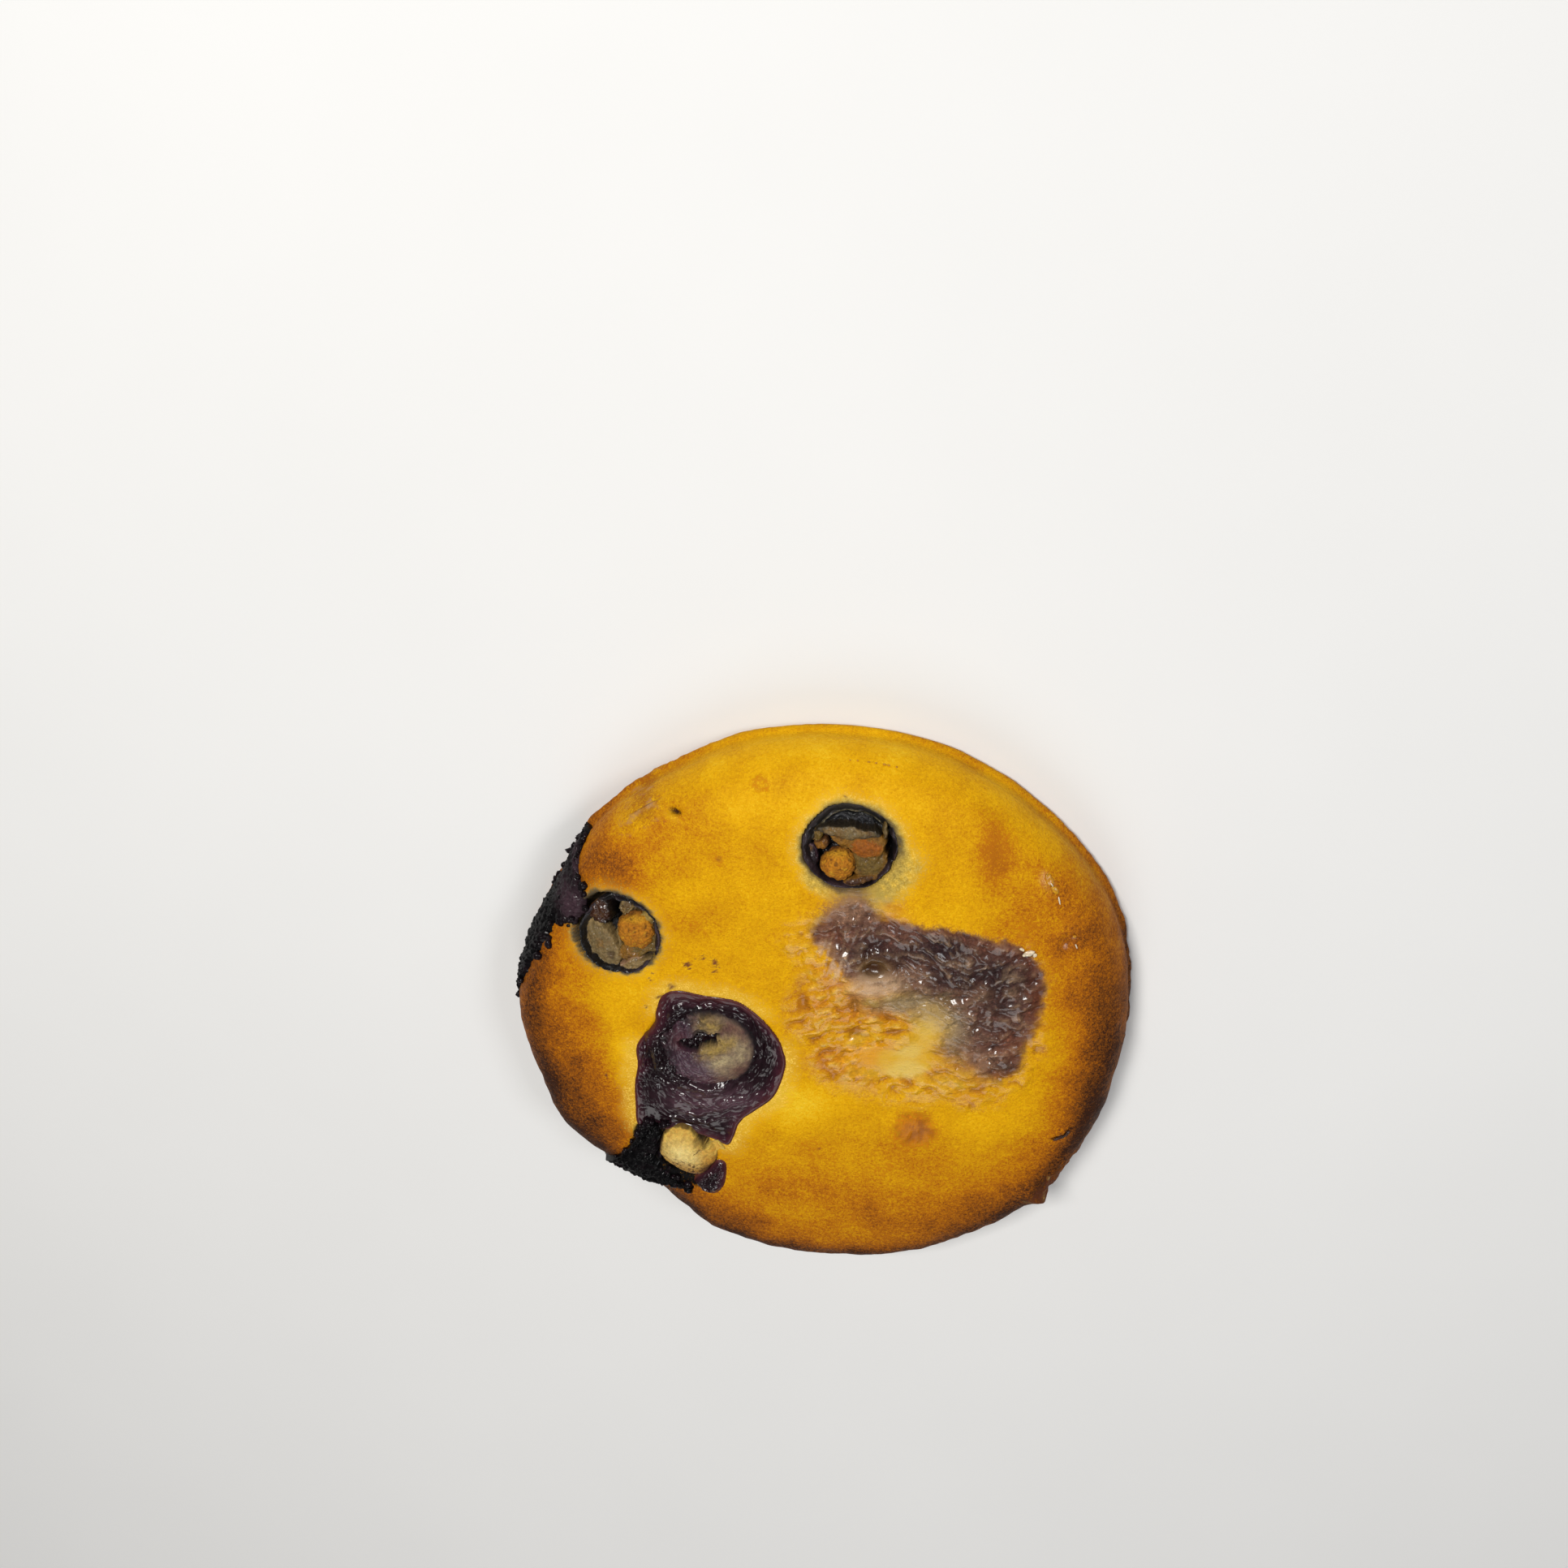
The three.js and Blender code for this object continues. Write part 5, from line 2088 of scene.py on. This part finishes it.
@dataclass
class BurntRun:
    """Juice that ran over the rim and burnt black and lumpy.

    Each knot is an azimuth in degrees with the inner and outer plan radius of the run there, where LIP
    stands for the pancake's lip.
    """

    name: str
    nodes: tuple[str, ...]
    knots: tuple[tuple[float, float, float], ...]
    seed: int
    long_cuts: int = 250
    wide_cuts: int = 60
    grain: float = 1.0
    grains: int = 70
    juicy: tuple[Spot, ...] = ()

    def build(self, shop: Workshop, batter: Batter, material: Material) -> Piece:
        """Shapes and dresses the run.

        Args:
            shop: Finishes the piece.
            batter: The batter it lies on.
            material: Its finish.

        Returns:
            The run.
        """
        mesh = bmesh.new()
        bmesh.ops.create_grid(mesh, x_segments=self.long_cuts, y_segments=self.wide_cuts, size=1.0)
        made = bmesh.ops.extrude_face_region(mesh, geom=mesh.faces[:])
        mesh.verts.index_update()
        raised = [item.index for item in made["geom"] if isinstance(item, bmesh.types.BMVert)]
        sheet = np.array([vertex.co[:] for vertex in mesh.verts])
        under = np.ones(len(sheet))
        under[raised] = 0.0
        along, across = (sheet[:, 0] + 1.0) / 2.0, (sheet[:, 1] + 1.0) / 2.0
        noise = Texture(self.seed)
        u, v = self.spread(batter.form, along, across, noise)
        place = plane(u, v)
        points, out = batter.form.skin(u, v)
        crown = np.clip(4.0 * across * (1 - across), 0, 1) * ease(0, 0.04, along) * ease(1, 0.96, along)
        lumps = noise.grains(place, self.grain)
        small = Texture(self.seed + 1).grains(place, self.grain * 0.5)
        lift = (
            ease(0, 0.35, crown) * (0.1 + 0.8 * lumps + 0.4 * small + 0.35 * noise.layered(place, 3.0, 2))
            - 0.25
        )
        lift += batter.height(u, v)
        lift = lift * (1 - under) - 0.6 * under
        points = points + out * lift[:, None]
        points[:, 2] = np.maximum(points[:, 2], 0.0)
        paint = Paint(len(u), Tint.SOOT)
        paint.lay(Tint.SOOT_WINE, 0.9 * ease(0, 0.5, noise.layered(place, 3.5, 2)) * (1 - lumps))
        for spot in self.juicy:
            paint.lay(Tint.LILAC, spot.at(points[:, 0], points[:, 1]) * (0.35 + 0.5 * small))
        bmesh.ops.reverse_faces(mesh, faces=mesh.faces[:])
        marks = {"dry": 0.15 + 0.3 * small}
        return shop.finish(self.name, mesh, points, material, Slot.BURNT, self.nodes, marks, paint)

    def spread(self, form: Form, along: Array, across: Array, noise: Texture) -> tuple[Array, Array]:
        """Lays shares along and across the run onto the unrolled skin.

        Args:
            form: The pancake's form.
            along: 0 at the first knot to 1 at the last.
            across: 0 at the inner edge to 1 at the outer.
            noise: For ragged edges.

        Returns:
            Places along X and Y on the unrolled skin.
        """
        knots = np.array(self.knots)
        at = np.linspace(0.0, 1.0, len(knots))
        azimuth, inner, outer = (np.interp(along, at, knots[:, i]) for i in range(3))
        side = plane(azimuth * 0.9, np.zeros(len(along)))
        angle = np.radians(azimuth)
        inner = self.down(form, inner - form.swell(angle)) + 1.0 * noise.layered(side, 2.2, 4, 0.7)
        outer = self.down(form, outer - form.swell(angle)) + 0.7 * noise.layered(side + 50.0, 1.8, 4, 0.7)
        travel = inner + (outer - inner) * across
        return travel * np.cos(angle), travel * np.sin(angle)

    @staticmethod
    def down(form: Form, radius: Array) -> Array:
        """Runs down the wall to the lip, past the shoulder.

        Args:
            form: The pancake's form.
            radius: Plan radii, up to LIP at the lip.

        Returns:
            The travel to each.
        """
        shoulder = form.radius - 1.5
        share = np.clip((radius - shoulder) / (LIP - shoulder), 0, 1)
        return form.travel(np.minimum(radius, shoulder)) * (1 - share) + form.lip * share

    def scatter(self, shop: Workshop, batter: Batter, material: Material) -> Piece:
        """Sticks small burnt grains along the run, thickest at its edges.

        Args:
            shop: Finishes the piece.
            batter: The batter it lies on.
            material: Its finish.

        Returns:
            The grains, as one piece.
        """
        draw = np.random.default_rng(self.seed + 7)
        count = self.grains
        along = draw.random(count)
        across = np.where(
            draw.random(count) < 0.5, draw.normal(0.97, 0.05, count), draw.normal(0.1, 0.12, count)
        )
        u, v = self.spread(batter.form, along, across, Texture(self.seed))
        seats, out = batter.form.skin(u, v)
        mesh = bmesh.new()
        places = []
        for seat, away in zip(seats, out):
            size = float(draw.uniform(0.22, 0.62))
            ball = bmesh.ops.create_icosphere(mesh, subdivisions=2, radius=1.0)["verts"]
            stretch = draw.uniform(0.7, 1.5, 3) * size
            for vertex in ball:
                unit = np.array(vertex.co[:])
                places.append(seat + away * 0.45 * size + unit * stretch * (1 + 0.15 * draw.normal()))
        points = np.array(places)
        points[:, 2] = np.maximum(points[:, 2], 0.0)
        paint = Paint(len(points), Tint.SOOT)
        paint.lay(Tint.SOOT_WINE, 0.5 + 0.5 * Texture(5).layered(points, 2.0, 2))
        name, marks = f"{self.name}_grains", {"dry": np.full(len(points), 0.2)}
        return shop.finish(name, mesh, points, material, Slot.BURNT, (), marks, paint)


# ------------------------ stage, light and camera


@dataclass(frozen=True)
class SoftBox:
    """A square soft light, in metres and watts."""

    name: str
    place: tuple[float, float, float]
    size: float
    power: float
    colour: tuple[float, float, float]

    def hang(self, aim: Vector) -> None:
        """Hangs the light.

        Args:
            aim: What it points at.
        """
        data = bpy.data.lights.new(self.name, "AREA")
        data.shape = "SQUARE"
        data.size = self.size
        data.energy = self.power
        data.color = self.colour
        lamp = bpy.data.objects.new(self.name, data)
        lamp.location = self.place
        lamp.rotation_euler = (aim - Vector(self.place)).to_track_quat("-Z", "Y").to_euler()
        bpy.context.scene.collection.objects.link(lamp)


@dataclass(frozen=True)
class Studio:
    """A plain pale floor, soft light and the camera.

    The camera stands at a place in millimetres from the origin. It leans back and rolls by degrees.
    """

    origin: Vector
    place: tuple[float, float, float] = (25.4, 151.1, 219.9)
    lean: float = 27.3
    roll: float = -6.94
    lens: float = 37.94
    sensor: float = 36.0
    room: float = 0.11
    aim: tuple[float, float, float] = (0.0, 0.0, 0.01)
    drop: float = 0.05
    boxes: tuple[SoftBox, ...] = (
        SoftBox("key_box", (-0.12, 0.32, 0.50), 0.16, 2.92, (1.0, 0.98, 0.95)),
        SoftBox("fill_box", (0.34, 0.12, 0.42), 0.16, 0.70, (0.97, 0.98, 1.0)),
        SoftBox("back_box", (-0.05, -0.36, 0.40), 0.26, 0.62, (1.0, 0.98, 0.96)),
    )

    def floor(self) -> None:
        """Lays the floor, a hair below the pancake."""
        mesh = bmesh.new()
        bmesh.ops.create_grid(mesh, x_segments=2, y_segments=2, size=3.0)
        bmesh.ops.translate(mesh, verts=mesh.verts[:], vec=(0.0, 0.0, -self.drop * METRE))
        data = bpy.data.meshes.new("floor")
        mesh.to_mesh(data)
        mesh.free()
        floor = bpy.data.objects.new("floor", data)
        bpy.context.scene.collection.objects.link(floor)
        g = Graph("pale_floor")
        colour = g.mix(g.noise(60.0, 3.0), (0.76, 0.76, 0.75), (0.80, 0.80, 0.79))
        data.materials.append(g.done(Base_Color=colour, Roughness=0.7))

    def light(self) -> None:
        """Hangs the soft boxes and lifts the shadows."""
        world = bpy.data.worlds.new("soft_room")
        world.use_nodes = True
        walls = world.node_tree.nodes["Background"].inputs
        walls["Color"].default_value = (0.95, 0.97, 1.0, 1.0)
        walls["Strength"].default_value = self.room
        bpy.context.scene.world = world
        for box in self.boxes:
            box.hang(Vector(self.aim))

    def camera(self) -> None:
        """Sets the camera over the far edge, looking down and back."""
        lean, roll = math.radians(self.lean), math.radians(self.roll)
        right = Vector((1.0, 0.0, 0.0))
        up = Vector((0.0, math.cos(lean), -math.sin(lean)))
        back = Vector((0.0, math.sin(lean), math.cos(lean)))
        turned = right * math.cos(roll) + back * math.sin(roll)
        back = back * math.cos(roll) - right * math.sin(roll)
        data = bpy.data.cameras.new("camera")
        data.lens = self.lens
        data.sensor_width = self.sensor
        data.clip_start = 0.01
        camera = bpy.data.objects.new("camera", data)
        place = Vector(self.place) * METRE + self.origin
        turn = Matrix((turned, up, back)).transposed().to_4x4()
        camera.matrix_world = Matrix.Translation(place) @ turn
        bpy.context.scene.collection.objects.link(camera)
        bpy.context.scene.camera = camera
        bpy.context.scene.view_settings.view_transform = "Standard"


# ------------------------ the whole


FAR_BERRY = (6.0, 34.2)


def layout_origin() -> Vector:
    """Finds the layout's origin from the far berry.

    Returns:
        The origin in the frame, in metres.
    """
    low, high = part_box("blueberry_top")
    middle, berry = (low + high) / 2.0, Vector(FAR_BERRY)
    return Vector((middle.x - berry.x * METRE, middle.y - berry.y * METRE, 0.0))


def main() -> None:
    """Builds the pancake piece by piece."""
    logging.basicConfig(level=logging.INFO, format="%(name)s: %(message)s")
    origin = layout_origin()
    shop = Workshop(origin)
    studio = Studio(origin)
    studio.floor()
    studio.light()
    studio.camera()

    form = Form(radius=48.0, thick=15.0)
    pool = Outline(
        form.unroll(
            (
                (-21, 10), (-17, 9.2), (-12.5, 8.5), (-9.5, 6.4), (-7, 3.5), (-5.6, 0.5), (-5, -3),
                (-5.8, -6.5), (-7.5, -10), (-10.5, -12.6), (-13, -15), (-14.2, -18), (-15.5, -20.0),
                (-18, -18.8), (-22, -17.5), (-27, -17.2), (-29.4, -16.4), (-29.3, -12), (-29.2, -8),
                (-28.5, -4.5), (-28.3, -1), (-26.9, 1.5), (-25, 4), (-24.6, 6.5), (-23.5, 9),
            )
        )
    )
    batter = Batter(form, pool)
    skin = Fruit("berry_flesh", 0.45, 0.14, 0.36, 0.4).material()
    jam = Fruit("set_jam", 0.7, 0.03, 0.24, 0.55, 0.3, 0.0, 0.10, 0.13).material()
    crumb = Fruit("toasted_crumb", 0.35, 0.2, 0.7, 0.0, 0.35, 0.06).material()
    cap = Fruit("batter_cap", 0.5, 0.15, 0.6, 0.05, 0.2, 0.2).material()
    burnt = Fruit("burnt_sugar", 0.5, 0.08, 0.34, 0.25, 0.3, 0.0, 0.06, 0.08).material()
    far = OpenBerry(
        "open_berry_far", "blueberry_top", (6.0, 34.3), (6.9, 6.7), drift=(0.5, -0.5), haze=0.65,
        lumps=(
            Lump(-4.9, 1.9, 1.2, 1.2, -1.1, Tint.OLIVE, 20, (0, 0), None, 0.3),
            Lump(-5.5, -1.8, 0.9, 2.1, -0.9, Tint.SOOT_WINE, 10, (0, 0), Tint.LILAC, 0.3),
            Lump(2.7, -2.6, 2.9, 3.2, -0.65, Tint.OLIVE, 0, (0.0, 0.0), Tint.OLIVE_BROWN, 0.5),
            Lump(1.4, 0.7, 4.4, 1.7, -0.45, Tint.OLIVE_BROWN, -12, (0.0, 0.0), None, 0.6),
            Lump(2.4, -0.4, 3.0, 1.5, -0.24, Tint.TAN, -14, (0.0, 0.0), Tint.OLIVE_BROWN, 0.6),
            Lump(-4.0, 0.3, 1.2, 0.8, -0.6, Tint.LEATHER, 8, (0, 0), Tint.SYRUP, 0.5),
            Lump(-0.3, 2.1, 4.9, 1.0, 0.0, Tint.FLESH, -9, (0.0, 0.10), Tint.SKIN, 0.4),
            Lump(5.1, 1.9, 0.4, 1.4, -0.15, Tint.FLESH, 4, (0, 0), Tint.OLIVE, 0.4),
            Lump(1.4, -5.5, 2.6, 0.7, -0.3, Tint.SYRUP, 8, (0, 0), Tint.OLIVE_BROWN, 0.4),
        ),
        gaps=spots(
            (5.8, -1.8, 0.5, 2.6, 4, 0.95, 1.5), (4.9, -5, 1, 0.4, 40, 0.8, 1.5),
            (-4.2, -2.8, 0.4, 1.6, 0, 0.8, 1.5),
        ),
        crescent=1.0,
        thick_side=115.0,
        uneven_wall=0.55,
        seed=30,
    )
    left = OpenBerry(
        "open_berry_left", "blueberry_left", (-29.9, 19.3), (6.9, 6.7), drift=(0.0, 0.2), haze=0.22,
        lumps=(
            Lump(0.9, 3.9, 1.4, 1.7, -1.5, Tint.OLIVE_GREY, 0, (0, 0), Tint.SKIN, 0.2),
            Lump(4.8, 3.2, 1.5, 1.0, -0.5, Tint.DOME_CREAM, -30, (0, 0), Tint.OLIVE, 0.6),
            Lump(3.0, -0.4, 4.1, 4.8, -0.75, Tint.OLIVE, 0, (0, 0), Tint.OLIVE_GREY, 0.3),
            Lump(1.0, -3.2, 2.0, 2.0, -0.7, Tint.OLIVE_BROWN, 0, (0, 0), Tint.OLIVE, 0.3),
            Lump(2.6, -5.0, 3.6, 1.2, -0.3, Tint.OLIVE_GREY, 22, (0, 0), Tint.SOFT_MAUVE, 0.4),
            Lump(-3.5, -1.9, 2.4, 5.2, -0.45, Tint.FLESH, 26, (0.10, 0.0), Tint.OLIVE_GREY, 0.45),
            Lump(-3.2, 4.2, 2.0, 2.4, -0.1, Tint.SYRUP, 20, (0, 0), Tint.SOOT, 0.0, 0.5),
        ),
        gaps=spots(
            (-1, 3.4, 0.45, 2, 0, 0.95, 1.5), (0.7, 1.4, 1.3, 0.28, 43, 0.95, 1.5),
            (3.3, 3.9, 1.5, 0.25, 10, 0.9, 1.5), (0.3, -1.2, 0.5, 0.5, 0, 0.9, 1.5),
            (4.4, -3.5, 1.5, 0.28, 14, 0.9, 1.5), (2, 6, 3, 0.5, -12, 0.9, 1.5),
        ),
        crusted=1.0,
        thick_side=170.0,
        uneven_wall=0.05,
        seed=70,
    )
    burst = DomeBerry("burst_berry", "blueberry_burst", (-17.5, -0.9), (8.3, 7.8), brim=0.0, halo=Halo.NONE)
    capped = CappedBerry(
        "capped_berry", "blueberry_lower", (-22.3, -21.8), (4.9, 5.5), brim=0.0, halo=Halo.NONE
    )
    batter.build(shop, (far, left, burst, capped))
    far.build(shop, batter, skin)
    left.build(shop, batter, skin)
    Jam(
        "jam_pool", pool, ("juice_pool",), (-17.5, -0.6),
        shelf=Spot(-17.5, -10.8, 7.5, 3.4, 0, 1, 1.4), moat=True,
    ).build(shop, batter, jam)
    burst.build(shop, batter, skin)
    blob = Outline(
        form.unroll(
            (
                (-22.9, -29.4), (-21.2, -31.3), (-18.9, -31.4), (-17.1, -29.4), (-16.3, -26.6),
                (-16.2, -23.8), (-17.8, -23.4), (-19.4, -25.2), (-21.4, -27.2),
            )
        )
    )
    Jam("jam_blob", blob, (), (-22.0, -22.0), cuts=40, sunk=-0.35, wrinkle=1.0, margin=0.6).build(
        shop, batter, jam
    )
    capped.build(shop, batter, cap)
    Crumb("crumb_far", "crumb_top", (4.3, 31.5, 13.0), (2.6, 2.5, 2.0), 80).build(shop, crumb)
    Crumb("crumb_near", "crumb_left", (-26.6, 19.4, 12.7), (2.9, 3.1, 1.8), 90).build(shop, crumb)
    Flakes().build(shop, batter, Fruit("wet_flake", 0.35, 0.12, 0.4, 0.6, 0.3, 0.2).material())
    runs = (
        BurntRun(
            "burnt_run_left", ("juice_crust_left",),
            (
                (136.5, 47.6, 48.0), (138.5, 47.0, LIP), (140.5, 46.0, LIP), (142.2, 44.4, LIP),
                (143.6, 42.2, LIP), (147, 41.2, LIP), (151.0, 41.2, LIP), (153.0, 42.6, LIP),
                (155, 44.0, LIP), (158, 44.3, LIP), (162, 45.0, LIP), (166, 46.2, LIP), (170, 47.4, LIP),
                (174, 48.6, LIP), (177, 49.2, LIP),
            ),
            100,
            juicy=(Spot(-36.6, 23.4, 2.6, 2.8, 30, 0.6, 1.3), Spot(-36, 29, 0.9, 2.6, 20, 0.4, 1.3)),
        ),
        BurntRun(
            "burnt_run_low", ("juice_crust_lower",),
            (
                (208.5, 32.6, 33.2), (210.5, 31.4, 34.6), (212, 30.8, 36.3), (213.7, 30.6, 38.6),
                (215.2, 31.0, 41.5), (216.7, 32.0, LIP), (218.5, 33.6, LIP), (220.5, 34.9, LIP),
                (222.5, 35.9, LIP), (224.5, 36.5, LIP), (226, 36.8, 42.0), (228.5, 36.8, 39.2),
                (231, 36.4, 38.2), (234, 36.0, 37.0),
            ),
            110, long_cuts=200, wide_cuts=90,
        ),
    )
    for run in runs:
        run.build(shop, batter, burnt)
        run.scatter(shop, batter, burnt)


if __name__ == "__main__":
    main()
